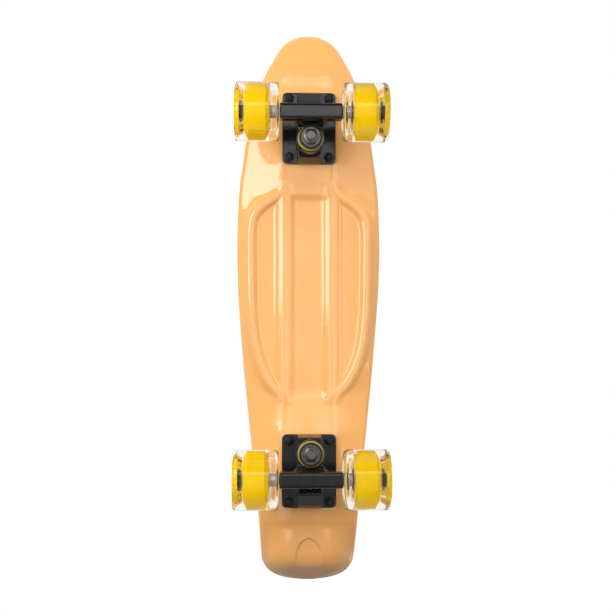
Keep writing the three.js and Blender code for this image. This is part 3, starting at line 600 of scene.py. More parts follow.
# Objects
def placed(name, data):
    made = bpy.data.objects.new(name, data)
    bpy.context.scene.collection.objects.link(made)
    return made


def object_of(name, shape):
    points, faces = shape
    mesh = bpy.data.meshes.new(name)
    mesh.from_pydata([tuple(point) for point in points], [], faces)
    mesh.update()
    return placed(name, mesh)


def shape_of(made):
    """The points and faces of an object with its modifiers applied; the object is removed."""
    depsgraph = bpy.context.evaluated_depsgraph_get()
    mesh = bpy.data.meshes.new_from_object(made.evaluated_get(depsgraph))
    points = np.array([vertex.co for vertex in mesh.vertices], float)
    faces = [tuple(face.vertices) for face in mesh.polygons]
    bpy.data.meshes.remove(mesh)
    bpy.data.objects.remove(made)
    return points, faces


def facing_out(shape):
    """The shape with its faces turned outwards."""
    points, faces = shape
    triangles = np.array([(face[0], b, c) for face in faces for b, c in zip(face[1:-1], face[2:])])
    a, b, c = points[triangles].transpose(1, 0, 2)
    volume = np.sum(a * np.cross(b, c))
    return (points, [tuple(reversed(face)) for face in faces]) if volume < 0 else shape


def joined(shapes):
    """Shapes as one shape, each with its faces turned outwards."""
    return merged(*[facing_out(shape) for shape in shapes])


def drilled(shape, *tools):
    """The shape less some closed tools."""
    body = object_of("drilled", facing_out(shape))
    tool = object_of("tool", joined(tools))
    step = body.modifiers.new("Drill", "BOOLEAN")
    step.operation = "DIFFERENCE"
    step.solver = "MANIFOLD"
    step.object = tool
    result = shape_of(body)
    bpy.data.objects.remove(tool)
    return result


def cast(shapes, tools):
    """One casting: overlapping solids fused and softened at their edges, then drilled."""
    body = object_of("casting", joined(shapes))
    fuse = body.modifiers.new("Fuse", "REMESH")
    fuse.mode = "VOXEL"
    fuse.voxel_size = CAST_VOXEL
    soften = body.modifiers.new("Soften", "SMOOTH")
    soften.factor = 0.5
    soften.iterations = CAST_SMOOTHINGS
    thin = body.modifiers.new("Thin", "DECIMATE")
    thin.ratio = CAST_KEEP
    return drilled(shape_of(body), *tools)


def piece(name, shape, body, material, nodes, place=Matrix()):
    """Puts a shape into the scene as a finished piece that stands for some nodes of the model."""
    made = object_of(name, facing_out(shape))
    made.data.transform(Matrix.Scale(MM, 4) @ place)
    made.data.shade_smooth()
    made.data.set_sharp_from_angle(angle=SHARP_ANGLE)
    made.data.materials.append(material)
    if body:
        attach(made, body)
    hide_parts(*nodes)
    return made


# Materials
def linear(red, green, blue):
    """A colour given as 0 to 255 on a screen, as the shader wants it."""
    channels = [value / 255 for value in (red, green, blue)]
    return [c / 12.92 if c <= 0.04045 else ((c + 0.055) / 1.055) ** 2.4 for c in channels] + [1]


def shaded(colour, factor):
    return [min(1, channel * factor) for channel in colour[:3]] + [1]


def add_node(tree, kind, inputs=()):
    """A shader node, with inputs filled in from numbers, colours or the outputs of other nodes."""
    node = tree.nodes.new("ShaderNode" + kind)
    for socket, value in dict(inputs).items():
        if isinstance(value, bpy.types.NodeSocket):
            tree.links.new(value, node.inputs[socket])
        else:
            node.inputs[socket].default_value = value
    return node


def mapped(tree, value, start, end, low, high):
    """A number from low to high as the value goes from start to end."""
    inputs = {"Value": value, "From Min": start, "From Max": end, "To Min": low, "To Max": high}
    return add_node(tree, "MapRange", inputs).outputs["Result"]


def larger(tree, a, b):
    node = add_node(tree, "Math", {0: a, 1: b})
    node.operation = "MAXIMUM"
    return node.outputs[0]


def tone_ramp(tree, value, span, colours):
    """The first colour below a span of values, the second above it and a blend between."""
    ramp = add_node(tree, "ValToRGB", {"Fac": value})
    for element, position, colour in zip(ramp.color_ramp.elements, span, colours):
        element.position = position
        element.color = colour
    return ramp.outputs["Color"]


# Spans of a noise's values, and of the pointiness at a worn edge
NOISE_SPAN = (0.3, 0.7)
WORN_SPAN = (0.55, 0.66)


def new_material(name, sockets):
    """A material, its node tree and its shader, with some of the shader's sockets set."""
    material = bpy.data.materials.new(name)
    material.use_nodes = True
    shader = material.node_tree.nodes["Principled BSDF"]
    for socket, value in sockets.items():
        shader.inputs[socket].default_value = value
    return material, material.node_tree, shader


def finish(name, colour, roughness, rough, bump, tones=None, worn=None, more=()):
    """A material that varies a little with noises, each given by its scale and detail. After those, rough has
    the least and most roughness, tones the darkest and lightest shade, and bump a height in metres."""
    sockets = {"Base Color": colour, "Roughness": roughness, **dict(more)}
    material, tree, shader = new_material(name, sockets)
    where = add_node(tree, "TexCoord").outputs["Object"]

    def noise(scale, detail):
        return add_node(tree, "TexNoise", {"Vector": where, "Scale": scale, "Detail": detail}).outputs["Fac"]

    def link(output, socket):
        tree.links.new(output, shader.inputs[socket])

    if tones:
        colours = [shaded(colour, factor) for factor in tones[2:]]
        link(tone_ramp(tree, noise(*tones[:2]), NOISE_SPAN, colours), "Base Color")
    if worn:
        pointiness = add_node(tree, "NewGeometry").outputs["Pointiness"]
        link(tone_ramp(tree, pointiness, WORN_SPAN, (colour, worn)), "Base Color")
    link(mapped(tree, noise(*rough[:2]), *NOISE_SPAN, *rough[2:]), "Roughness")
    relief = {"Height": noise(*bump[:2]), "Distance": bump[2], "Strength": 1.0}
    link(add_node(tree, "Bump", relief).outputs["Normal"], "Normal")
    return material


def deck_plastic():
    return finish("Deck plastic", linear(247, 180, 107), 0.25, rough=(90, 2, 0.08, 0.13),
                  bump=(520, 2, 0.00004), tones=(22, 3, 0.965, 1.03))


def clear_urethane():
    return finish("Clear urethane", linear(250, 246, 236), 0.03, rough=(60, 2, 0.015, 0.05),
                  bump=(130, 2, 0.00003), more={"Transmission Weight": 1.0, "IOR": 1.5})


def core_plastic():
    return finish("Yellow core plastic", linear(230, 189, 0), 0.4, rough=(160, 2, 0.3, 0.42),
                  bump=(900, 2, 0.00003), tones=(70, 3, 0.94, 1.03), more={"Specular IOR Level": 0.0})


def bushing_urethane():
    return finish("Bushing urethane", linear(176, 160, 30), 0.4, rough=(200, 2, 0.32, 0.5),
                  bump=(1100, 3, 0.00005), tones=(120, 3, 0.88, 1.06))


def black_paint():
    """Satin paint on a casting, worn a little along its edges."""
    return finish("Black truck paint", linear(20, 17, 18), 0.2, rough=(160, 2, 0.12, 0.24),
                  bump=(260, 2, 0.00004), worn=linear(52, 50, 50))


def black_steel():
    return finish("Black steel", linear(28, 28, 30), 0.4, rough=(500, 2, 0.32, 0.5),
                  bump=(1500, 3, 0.00003), tones=(260, 3, 0.8, 1.4), more={"Metallic": 0.6})


def plain_steel():
    return finish("Plated steel", linear(100, 95, 94), 0.3, rough=(420, 3, 0.24, 0.42),
                  bump=(1600, 3, 0.00003), tones=(220, 4, 0.78, 1.08), more={"Metallic": 1.0})


def turned_metal():
    return finish("Turned truck metal", linear(148, 138, 132), 0.35, rough=(420, 3, 0.28, 0.45),
                  bump=(1600, 3, 0.00003), tones=(240, 3, 0.85, 1.1), more={"Metallic": 1.0})


def black_rubber():
    return finish("Black rubber", linear(24, 24, 26), 0.6, rough=(500, 2, 0.5, 0.7),
                  bump=(1500, 3, 0.00004), tones=(300, 3, 0.8, 1.3))


PLASTIC = deck_plastic()
CLEAR = clear_urethane()
CORE = core_plastic()
URETHANE = bushing_urethane()
PAINT = black_paint()
BLACK_STEEL = black_steel()
STEEL = plain_steel()
TURNED = turned_metal()
RUBBER = black_rubber()


# Deck
def steps_from_edge(reach, widest=1.0):
    """Distances from an edge, close together at first."""
    steps, step = [0.0], FIRST_STEP
    while steps[-1] + step < reach:
        steps.append(steps[-1] + step)
        step = min(step * STEP_GROWTH, widest)
    return np.array(steps)


def stations():
    """Distances from the nose, closest at the ends and round the ends of the ribs."""
    edge = steps_from_edge(END_REACH, END_STEP)
    front_rib, rear_rib = np.array(INNER_RIB_SHARES) * LENGTH
    kick = LENGTH - KICK_LENGTH
    stops = [
        (edge[-1] + 1, COARSE_STEP), (front_rib - FINE_MARGIN, FINE_STEP),
        (front_rib + FRONT_FINE_RUN, COARSE_STEP), (rear_rib - REAR_FINE_RUN, FINE_STEP),
        (rear_rib + FINE_MARGIN, COARSE_STEP), (kick - FINE_MARGIN, KICK_STEP),
        (LENGTH - edge[-1] - 1, None),
    ]
    runs = [
        np.linspace(start, end, max(2, round((end - start) / step)), endpoint=False)
        for (start, step), (end, _) in zip(stops, stops[1:])
    ]
    return np.concatenate([edge, *runs, (LENGTH - edge)[::-1]])


def across_row(half, insets, columns):
    """Places across one station, from the right edge to the left."""
    squeeze = min(1, half / (2 * insets[-1]))
    outer = half - insets * squeeze
    inner = np.linspace(outer[-1], -outer[-1], columns + 2)[1:-1]
    return np.concatenate([outer, inner, -outer[::-1]])


def deck_surface(height_at, insets, columns):
    """Points of a grid over the deck, at the height that a function gives."""
    along = stations()
    across = np.stack([across_row(half, insets, columns) for half in half_width_at(along)])
    along = np.repeat(along[:, None], across.shape[1], axis=1)
    height = height_at(across, along, edge_distance(across, along))
    return np.stack([across, along - LENGTH / 2, height], axis=-1)


def deck_shell():
    insets = np.append(steps_from_edge(TOP_REACH), np.arange(*TOP_COARSE_RANGE))
    top = deck_surface(top_height, insets, TOP_COLUMNS)
    under = deck_surface(underside_height, steps_from_edge(UNDERSIDE_REACH), UNDERSIDE_COLUMNS)
    return skin_of([np.concatenate([over, below[::-1]]) for over, below in zip(top, under)])


def bolt_places(centre):
    across = PLATE_WIDTH / 2 - BOLT_FROM_PLATE_SIDE
    along = PLATE_LENGTH / 2 - BOLT_FROM_PLATE_END
    return [(x * across, centre + y * along) for x, y in ((1, -1), (-1, -1), (1, 1), (-1, 1))]


ALL_BOLTS = bolt_places(FRONT_FROM_NOSE) + bolt_places(REAR_FROM_NOSE)


def head_seat(x, s):
    """Height of the seat of a bolt's head, under the deck's top."""
    x, s = np.array([x]), np.array([s])
    return top_height(x, s, edge_distance(x, s))[0] - BOLT_HEAD_HEIGHT


def bolt_tools():
    tools = []
    for x, s in ALL_BOLTS:
        seat = head_seat(x, s)
        levels = [PAD_HEIGHT - HOLE_PAST_PAD, seat, seat + HOLE_PAST_TOP]
        radii = [BOLT_BORE, BOLT_HEAD_RADIUS + SEAT_GAP]
        tool = cylinders(radii, levels, segments=BORE_SEGMENTS)
        tools.append(moved(tool, shift(x, s - LENGTH / 2, 0)))
    return tools


def waffle():
    """Thin raised lines on the deck's top, crossing in diamonds."""
    slope = WAFFLE_ALONG / WAFFLE_ACROSS
    x = np.arange(-HALF_WIDTH, HALF_WIDTH, WAFFLE_STEP)
    strips = []
    for sign in (1, -1):
        sideways = np.array([-sign * slope, 1.0]) / math.hypot(slope, 1)
        first = DISC_FROM_NOSE % WAFFLE_ALONG - WAFFLE_ALONG * math.ceil(HALF_WIDTH * slope / WAFFLE_ALONG)
        for start in np.arange(first, LENGTH + HALF_WIDTH * slope, WAFFLE_ALONG):
            s = start + sign * slope * x
            held = np.clip(s, 0, LENGTH)
            inside = (s > 0) & (s < LENGTH) & (np.abs(x) < half_width_at(held))
            inset = np.where(inside, edge_distance(x, held), 0)
            from_disc = np.hypot(x, s - DISC_FROM_NOSE) - DISC_RADIUS
            room = np.minimum(inset - RIDGE_FROM_EDGE, from_disc - RIDGE_FROM_DISC)
            for bolt_x, bolt_s in ALL_BOLTS:
                from_bolt = np.hypot(x - bolt_x, s - bolt_s) - BOLT_HEAD_RADIUS
                room = np.minimum(room, from_bolt - RIDGE_FROM_BOLT)
            strips.extend(ridge_strips(x, s, inset, room, sideways))
    return merged(*strips)


def ridge_strips(x, s, inset, room, sideways):
    """The stretches of one raised line that lie where there is room for it."""
    base = top_height(x, s, inset)
    rise = RIDGE_HEIGHT * smooth_step(room / RIDGE_FADE)
    foot, crest = (-RIDGE_SINK, 0), (0, 1)
    section = ((-RIDGE_FOOT, *foot), (-RIDGE_TOP, *crest), (RIDGE_TOP, *crest), (RIDGE_FOOT, *foot))
    strips, rings = [], []
    for i in range(len(x)):
        if room[i] > 0:
            middle = np.array([x[i], s[i] - LENGTH / 2, base[i]])
            rings.append(np.array([
                middle + [sideways[0] * offset, sideways[1] * offset, sink + rise[i] * top]
                for offset, sink, top in section
            ]))
        if rings and (room[i] <= 0 or i == len(x) - 1):
            if len(rings) > 1:
                strips.append(skin_of(rings))
            rings = []
    return strips


def make_deck():
    shell = drilled(deck_shell(), *bolt_tools())
    piece("deck_board", joined([shell, waffle()]), "board", PLASTIC, ["deck"])


# Fasteners
def nut(flats, bore, height, turn=0.0):
    """A lock nut with chamfered corners and a round collar, standing on its face at height 0."""
    angles = np.linspace(0, 2 * math.pi, NUT_SEGMENTS, endpoint=False)
    from_flat = (angles + turn) % (math.pi / 3) - math.pi / 6
    corner = flats / 2 / np.cos(from_flat)
    face = flats * NUT_FACE_SHARE
    chamfer = (corner - face) * math.tan(NUT_CHAMFER)
    top = height * NUT_BODY_SHARE
    collar = flats * NUT_COLLAR_SHARE
    levels = [
        (bore, 0), (face, 0), (corner, chamfer), (corner, top - chamfer), (face, top),
        (collar + 0.1, top + 0.05), (collar, top + 0.2), (collar, height - 0.7),
        (collar - 0.25, height - 0.2), (collar - 0.8, height), (bore + 0.3, height), (bore, height - 0.3),
    ]
    rings = [ring_at(radius, level, angles) for radius, level in levels]
    return np.concatenate(rings), ring_faces(len(rings), NUT_SEGMENTS, closed=True)


def bolt(length):
    """A deck bolt with its seat at height 0 and a cross drive in its head."""
    radius, head, top = BOLT_RADIUS, BOLT_HEAD_RADIUS, BOLT_HEAD_HEIGHT
    corners = [
        (0, -length), (radius - 0.4, -length), (radius, -length + 0.5), (radius, 0), (head, 0),
        (head, top - 0.5), (head - 0.5, top), (0, top),
    ]
    made = lathe(corners, rounding=0.2)
    slot = skin_of([
        np.array([(x, y, height) for x, y in rounded_rectangle(*size)])
        for size, height in ((DRIVE_FLOOR, DRIVE_FLOOR_HEIGHT), (DRIVE_MOUTH, top + 0.3))
    ])
    for turn in (0, math.pi / 2):
        made = drilled(made, moved(slot, Matrix.Rotation(turn, 4, "Z")))
    return made


def make_fasteners(name, centre):
    plate_face = PAD_HEIGHT - PLATE_THICKNESS - 2 * SEAT_GAP

    def add(part, node, shape, place):
        piece(f"{name}_{part}", shape, "board", BLACK_STEEL, [f"{name}_{node}"], place)

    for i, (x, s) in enumerate(bolt_places(centre), 1):
        seat = head_seat(x, s) + SEAT_GAP
        length = seat - plate_face + DECK_NUT_HEIGHT + BOLT_TIP
        turn = Matrix.Rotation(BOLT_TURN * i, 4, "Z")
        add(f"deck_bolt_{i}", f"bolt_{i}", bolt(length), shift(x, s - LENGTH / 2, seat) @ turn)
        shape = nut(DECK_NUT_FLATS, BOLT_RADIUS, DECK_NUT_HEIGHT, DECK_NUT_TURN * i)
        add(f"lock_nut_{i}", f"bolt_nut_{i}", shape, shift(x, s - LENGTH / 2, plate_face) @ UPSIDE_DOWN)


# Truck levels, down from the pad
PLATE_FACE = -SEAT_GAP - PLATE_THICKNESS
UPPER_CUP_TOP = -BOSS_DEPTH - SEAT_GAP
UPPER_BUSHING_TOP = UPPER_CUP_TOP - UPPER_CUP[2] - SEAT_GAP
RING_TOP = UPPER_BUSHING_TOP - UPPER_BUSHING[1] - SEAT_GAP
RING_BOTTOM = RING_TOP - RING[1]
LOWER_BUSHING_TOP = RING_BOTTOM - SEAT_GAP
LOWER_CUP_BOTTOM = LOWER_BUSHING_TOP - LOWER_BUSHING[2] - SEAT_GAP - LOWER_CUP[2]
KINGPIN_NUT_TOP = LOWER_CUP_BOTTOM - SEAT_GAP
KINGPIN_END = KINGPIN_NUT_TOP - KINGPIN_NUT_HEIGHT - KINGPIN_TIP
AT_KINGPIN = shift(0, KINGPIN_OFFSET, 0)
AT_PIVOT = shift(0, -PIVOT_OFFSET, -PIVOT_DEPTH) @ Matrix.Rotation(math.pi + PIVOT_ANGLE, 4, "X")
AT_AXLE = shift(0, -AXLE_OFFSET, -AXLE_DROP)


def plate_body_outline():
    """Side outline of the base plate's middle body, as [along, down] corners."""
    end = PLATE_LENGTH / 2
    near = KINGPIN_OFFSET - BOSS_RADIUS
    sine, cosine = math.sin(PIVOT_ANGLE), math.cos(PIVOT_ANGLE)
    mouth = (-PIVOT_OFFSET + PIVOT_CUP_MOUTH * sine, -PIVOT_DEPTH - PIVOT_CUP_MOUTH * cosine)
    reach = PIVOT_CUP_RADIUS + SEAT_GAP
    block_end = mouth[1] - sine * reach
    step, foot = PLATE_BODY_STEP, reach + PIVOT_BLOCK_WALL
    back, rise = PIVOT_BLOCK_BACK
    return [
        (end, PLATE_FACE + step), (end, PLATE_FACE - step), (end - step, -BOSS_DEPTH), (near, -BOSS_DEPTH),
        (near, -BOSS_DEPTH + step), (mouth[0] + cosine * foot, -VALLEY_DEPTH),
        (mouth[0] + cosine * reach, mouth[1] + sine * reach), (mouth[0] - cosine * reach, block_end),
        (mouth[0] - cosine * foot, block_end), (-end + back, block_end + rise),
        (-end, PLATE_FACE - PLATE_BODY_HEEL), (-end, PLATE_FACE + step),
    ]


def base_plate():
    flange = prism(rounded_rectangle(PLATE_WIDTH, PLATE_LENGTH, PLATE_CORNER), PLATE_FACE, -SEAT_GAP)
    half = PLATE_BODY_WIDTH / 2
    body = moved(prism(plate_body_outline(), -half, half), ALONG_X)
    boss = moved(cylinders([BOSS_RADIUS], [-BOSS_DEPTH, BOSS_TOP], rounding=0.2), AT_KINGPIN)
    pocket_radii = [KINGPIN_BORE, KINGPIN_POCKET_RADIUS]
    pocket = cylinders(pocket_radii, KINGPIN_POCKET_LEVELS, segments=BORE_SEGMENTS)
    socket = cylinders([PIVOT_CUP_RADIUS + SEAT_GAP], PIVOT_SOCKET_LEVELS)
    hole = cylinders([BOLT_BORE], PLATE_HOLE_LEVELS, segments=HOLE_SEGMENTS)
    holes = [moved(hole, shift(x, s, 0)) for x, s in bolt_places(0)]
    return cast([flange, body, boss], [moved(pocket, AT_KINGPIN), moved(socket, AT_PIVOT), *holes])


def hanger():
    """The bar, the ring round the kingpin, the web between them and the arm to the pivot."""
    bar_half = WHEEL_TRACK / 2 - WHEEL_WIDTH / 2 - BAR_FROM_WHEEL
    boss_half = WHEEL_TRACK / 2 - CORE_WIDTH / 2 - SEAT_GAP
    bar = prism(rounded_rectangle(BAR_SECTION, BAR_SECTION, BAR_CORNER), -bar_half, bar_half)
    bosses = cylinders([AXLE_BOSS_RADIUS], [-boss_half, boss_half], rounding=0.3)
    bar, bosses = [moved(moved(shape, ALONG_X), AT_AXLE) for shape in (bar, bosses)]
    ring = moved(cylinders([RING[0]], [RING_BOTTOM, RING_TOP], rounding=0.8), AT_KINGPIN)

    def end(y, middle, size):
        width, depth = size
        return np.array([(x * width / 2, y, middle + z * depth / 2) for x, z in SQUARE])

    middle = (RING_TOP + RING_BOTTOM) / 2
    web = skin_of([
        end(-AXLE_OFFSET + BAR_SECTION / 2 - WEB_SINK, WEB_RISE - AXLE_DROP, WEB_AT_BAR),
        end(KINGPIN_OFFSET - WEB_STEP, middle, WEB_AT_RING),
        end(KINGPIN_OFFSET - WEB_SINK, middle, WEB_AT_RING),
    ])
    arm = moved(lathe(ARM, BORE_SEGMENTS, 0.8), AT_PIVOT)
    dish_top = LOWER_BUSHING_TOP + FLANGE[1] + SEAT_GAP
    bore = cylinders([FLANGE[0] + SEAT_GAP, RING[2]], [-BORE_REACH, dish_top, RING_BORE_END])
    axle_bore = cylinders([AXLE_RADIUS + SEAT_GAP], [-BORE_REACH, BORE_REACH], segments=BORE_SEGMENTS)
    tools = [moved(bore, AT_KINGPIN), moved(moved(axle_bore, ALONG_X), AT_AXLE)]
    return cast([bar, bosses, ring, web, arm], tools)


def cup_washer(size, wall_up):
    """A pressed washer with a low wall round it; wall_up is 1 where the wall stands up."""
    radius, height, base = size
    bore = KINGPIN_BORE
    wall, floor = wall_up * height, wall_up * base
    corners = [
        (bore, 0), (radius - CUP_RIM, 0), (radius - 0.5, 0), (radius, floor / 2), (radius, wall),
        (radius - 1, wall), (radius - 1, floor), (bore, floor),
    ]
    return lathe(corners, rounding=0.35)


def pivot_cup():
    radius, mouth, depth = PIVOT_CUP_RADIUS, PIVOT_CUP_MOUTH, PIVOT_CUP_DEPTH
    corners = [
        (0, -depth), (radius, -depth), (radius, mouth), (6.1, mouth), (5.8, 0), (5, -2.9), (2.9, -5),
        (0, -5.8),
    ]
    return lathe(corners, rounding=0.4)


def kingpin():
    shank, head = KINGPIN_RADIUS, KINGPIN_HEAD_RADIUS
    seat = KINGPIN_TOP - KINGPIN_HEAD_HEIGHT
    return lathe([
        (0, KINGPIN_END), (shank - 1, KINGPIN_END), (shank, KINGPIN_END + 1), (shank, seat), (head, seat),
        (head, KINGPIN_TOP), (0, KINGPIN_TOP),
    ])


def upper_bushing():
    bore = KINGPIN_BORE
    radius, height = UPPER_BUSHING
    top, bottom = UPPER_BUSHING_TOP, UPPER_BUSHING_TOP - height
    middle = (top + bottom) / 2
    corners = [
        (bore, bottom), (radius - 0.4, bottom), (radius, bottom + 2), (radius - 0.15, middle),
        (radius, top - 2), (radius - 0.4, top), (bore, top),
    ]
    return lathe(corners, rounding=1.0)


def lower_bushing():
    """A short cone with a flange that sits in the dish under the hanger's ring."""
    bore = KINGPIN_BORE
    upper, lower, height = LOWER_BUSHING
    bottom, under = LOWER_BUSHING_TOP - height, LOWER_BUSHING_TOP - 0.3
    radius, thickness = FLANGE
    top = LOWER_BUSHING_TOP + thickness
    corners = [(bore, bottom), (lower, bottom), (upper, under), (radius, under), (radius, top), (bore, top)]
    return lathe(corners, rounding=0.4)


# Wheels, turned about Z with the side towards the nut at +Z
def mirrored(outer, inner=None):
    """Both sides of an outline that is given for one side, or for each."""
    return [*outer, *[(radius, -height) for radius, height in reversed(inner or outer)]]


def tyre():
    face = WHEEL_WIDTH / 2
    floor = CORE_WIDTH / 2 + WHEEL_LIP
    edge = WHEEL_EDGE
    radius, height = WHEEL_RADIUS - edge, face - edge
    turns = [math.radians(degrees) for degrees in range(0, 91, 10)]
    arc = [(radius + edge * math.sin(turn), height + edge * math.cos(turn)) for turn in turns]
    hub, end = CORE_HUB_RADIUS, CORE_WIDTH / 2 - TYRE_GRIP
    seat = [
        (CORE_RADIUS - TYRE_GRIP, CORE_RIM_WIDTH / 2 - TYRE_GRIP), (hub, end), (hub - TYRE_GRIP, end),
        (hub - TYRE_GRIP, floor - 0.3), (hub + 0.3, floor),
    ]
    slope = [
        (OUTER_HOLLOW_RADIUS, floor), (OUTER_THROAT_RADIUS, face - OUTER_SLOPE_DEPTH),
        (WHEEL_FACE_RADIUS - WHEEL_LIP, face - WHEEL_LIP / 2),
    ]
    straight = [(INNER_HOLLOW_RADIUS, floor), (INNER_HOLLOW_RADIUS, face)]
    return lathe(mirrored([*seat, *slope, *arc], [*seat, *straight, *arc]), WHEEL_SEGMENTS, 0.5)


def wheel_core():
    seat = BEARING_RADIUS + SEAT_GAP
    shoulder = CORE_WIDTH / 2 - BEARING_WIDTH - SEAT_GAP
    corners = mirrored([
        (CORE_BORE_RADIUS, shoulder), (seat, shoulder), (seat, CORE_WIDTH / 2 - 0.1),
        (CORE_HUB_RADIUS, CORE_WIDTH / 2), (CORE_RADIUS, CORE_RIM_WIDTH / 2),
    ])
    return lathe(corners, WHEEL_SEGMENTS, 0.1)


def bearing():
    bore = AXLE_RADIUS + SEAT_GAP / 2
    half = BEARING_WIDTH / 2
    shield = half - SHIELD_SINK
    inner, outer = bore + BEARING_RACE, BEARING_RADIUS - BEARING_RACE
    return lathe(mirrored([
        (bore, half), (inner - 0.1, half), (inner, shield), (outer, shield), (outer + 0.1, half),
        (BEARING_RADIUS, half),
    ]))


def axle():
    end = (axle_high[0] - axle_low[0]) / 2
    corners = mirrored([(0, -end), (AXLE_RADIUS - 0.6, -end), (AXLE_RADIUS, -end + 0.7)])
    return moved(lathe(corners, rounding=0.2), ALONG_X)


def two_tone(made, material, axis, low, high):
    """Gives the flat faces whose middle lies between two distances from an axis another material."""
    made.data.materials.append(material)
    points = np.array([vertex.co for vertex in made.data.vertices])
    centre = (points.min(axis=0) + points.max(axis=0)) / 2
    for face in made.data.polygons:
        away = np.delete(np.array(face.center) - centre, axis)
        if low < math.hypot(*away) / MM < high and abs(face.normal[axis]) > 0.7:
            face.material_index = 1


def bare_ends(made, material, from_middle):
    """Gives the faces further out along X than a distance another material."""
    made.data.materials.append(material)
    for face in made.data.polygons:
        if abs(face.center[0]) / MM > from_middle:
            face.material_index = 1


def make_wheel(truck, side, to_side, place):
    """One wheel; to_side is 1 where it lies towards the truck's own +X."""
    name = f"{truck}_{side}"
    axis = place @ AT_AXLE @ Matrix.Rotation(to_side * math.pi / 2, 4, "Y")
    hub = axis @ shift(0, 0, WHEEL_TRACK / 2)

    def add(part, node, shape, slot, material, matrix=hub, body=f"{name}_wheel"):
        return piece(f"{name}_{part}", shape, body, material, [f"{name}_{node}"], matrix)

    add("clear_tyre", "tyre", tyre(), "clear_urethane", CLEAR).visible_shadow = False
    add("wheel_core", "core", wheel_core(), "core_plastic", CORE)
    for end, sign in (("inner", -1), ("outer", 1)):
        matrix = hub @ shift(0, 0, sign * (CORE_WIDTH / 2 - BEARING_WIDTH / 2))
        made = add(f"{end}_ball_bearing", f"{end}_bearing", bearing(), "bearing_steel", BLACK_STEEL, matrix)
        two_tone(made, RUBBER, 0, AXLE_RADIUS + BEARING_RACE + 0.2, BEARING_RADIUS - BEARING_RACE - 0.1)
    matrix = axis @ shift(0, 0, WHEEL_TRACK / 2 + CORE_WIDTH / 2 + SEAT_GAP)
    shape = nut(AXLE_NUT_FLATS, AXLE_RADIUS, AXLE_NUT_HEIGHT)
    add("lock_axle_nut", "axle_nut", shape, "black_steel", BLACK_STEEL, matrix, f"{truck}_truck")


def make_truck(name, centre, turn, plate_shape, hanger_shape):
    place = shift(0, centre - LENGTH / 2, PAD_HEIGHT) @ Matrix.Rotation(turn, 4, "Z")
    moving = f"{name}_truck"
    at_kingpin = place @ AT_KINGPIN

    def add(part, shape, slot, material, matrix=at_kingpin, body="board"):
        return piece(f"{name}_{part}_piece", shape, body, material, [f"{name}_{part}"], matrix)

    def add_bushing(part, shape):
        """A bushing between parts of the board and of the truck; it is tied to neither body, and its place is
        baked into its points.
        """
        made = add(part, shape, "bushing_urethane", URETHANE, body=None)
        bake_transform(made)

    add("base_plate", plate_shape, "black_paint", PAINT, place)
    add("pivot_cup", pivot_cup(), "black_rubber", RUBBER, place @ AT_PIVOT)
    add("kingpin", kingpin(), "plain_steel", STEEL)
    shape = nut(KINGPIN_NUT_FLATS, KINGPIN_RADIUS, KINGPIN_NUT_HEIGHT)
    matrix = at_kingpin @ shift(0, 0, KINGPIN_NUT_TOP) @ UPSIDE_DOWN
    add("kingpin_nut", shape, "plain_steel", STEEL, matrix)
    matrix = at_kingpin @ shift(0, 0, UPPER_CUP_TOP)
    add("upper_cup_washer", cup_washer(UPPER_CUP, -1), "black_steel", BLACK_STEEL, matrix)
    matrix = at_kingpin @ shift(0, 0, LOWER_CUP_BOTTOM)
    washer = add("lower_cup_washer", cup_washer(LOWER_CUP, 1), "plain_steel", BLACK_STEEL, matrix)
    # The washer's face is steel in the middle; its black outer band is painted shade for the dark gap round
    # it
    two_tone(washer, STEEL, 2, 0, LOWER_CUP[0] - CUP_PAINTED_SHADE_RIM)
    add_bushing("upper_bushing", upper_bushing())
    add_bushing("lower_bushing", lower_bushing())
    casting = add("hanger", hanger_shape, "black_paint", PAINT, place, moving)
    bare_ends(casting, TURNED, WHEEL_TRACK / 2 - WHEEL_WIDTH / 2 - PAINT_FROM_WHEEL)
    add("axle", axle(), "black_steel", BLACK_STEEL, place @ AT_AXLE, moving)
    for to_side in (1, -1):
        side = "left" if to_side * math.cos(turn) > 0 else "right"
        make_wheel(name, side, to_side, place)


# Stage
CENTRE = Vector((0, 0, (deck_high[2] + deck_low[2]) / 2 * MM))
FLOOR_REACH = 4000
FLOOR_DROP = 0.2

# Distances in metres between which the floor fades out
FLOOR_FADE = (0.35, 0.8)

# Lamps: name, place, size in X, size in Y and brightness, in metres and white levels
LAMPS = [
    ("Key above", (-0.9, -0.7, 1.7), 1.2, 1.2, 3.8),
    ("Fill above", (1.2, 0.6, 1.4), 1.2, 1.2, 1.55),
    ("Left below", (-0.42, -0.22, -0.62), 0.34, 0.36, 8.8),
    ("Right below", (0.6, -0.2, -0.9), 0.45, 0.45, 1.2),
]
GLOSS_LAMPS = [
    ("Right edge strip", (1.05, -0.1, -0.68), 0.1, 1.2, 4),
    ("Front strip below", (0.02, -0.5, -1.1), 0.5, 0.25, 1.7),
    ("Left rib strip", (-0.007, -0.125, -1.12), 0.03, 0.38, 4.5),
    ("Right rib strip", (0.094, -0.125, -1.12), 0.03, 0.38, 4.5),
    ("Left strip below", (-0.34, 0.05, -1.05), 0.22, 1.3, 2.2),
    ("Right strip below", (0.34, 0.0, -1.05), 0.22, 1.3, 2.4),
]

# The world's brightness: where its change starts and ends, and the brightness at both
GLOSS_BELOW = (-0.97, -0.8, 0.5, 0.1)
GLOSS_ABOVE = (-0.6, -0.1, 0.0, 0.6)
FILL_ALONG = (-0.1, 0.45, 1.14, 0.0)


def facing(position, right, up, back):
    return Matrix.Translation(position) @ Matrix((right, up, back)).transposed().to_4x4()


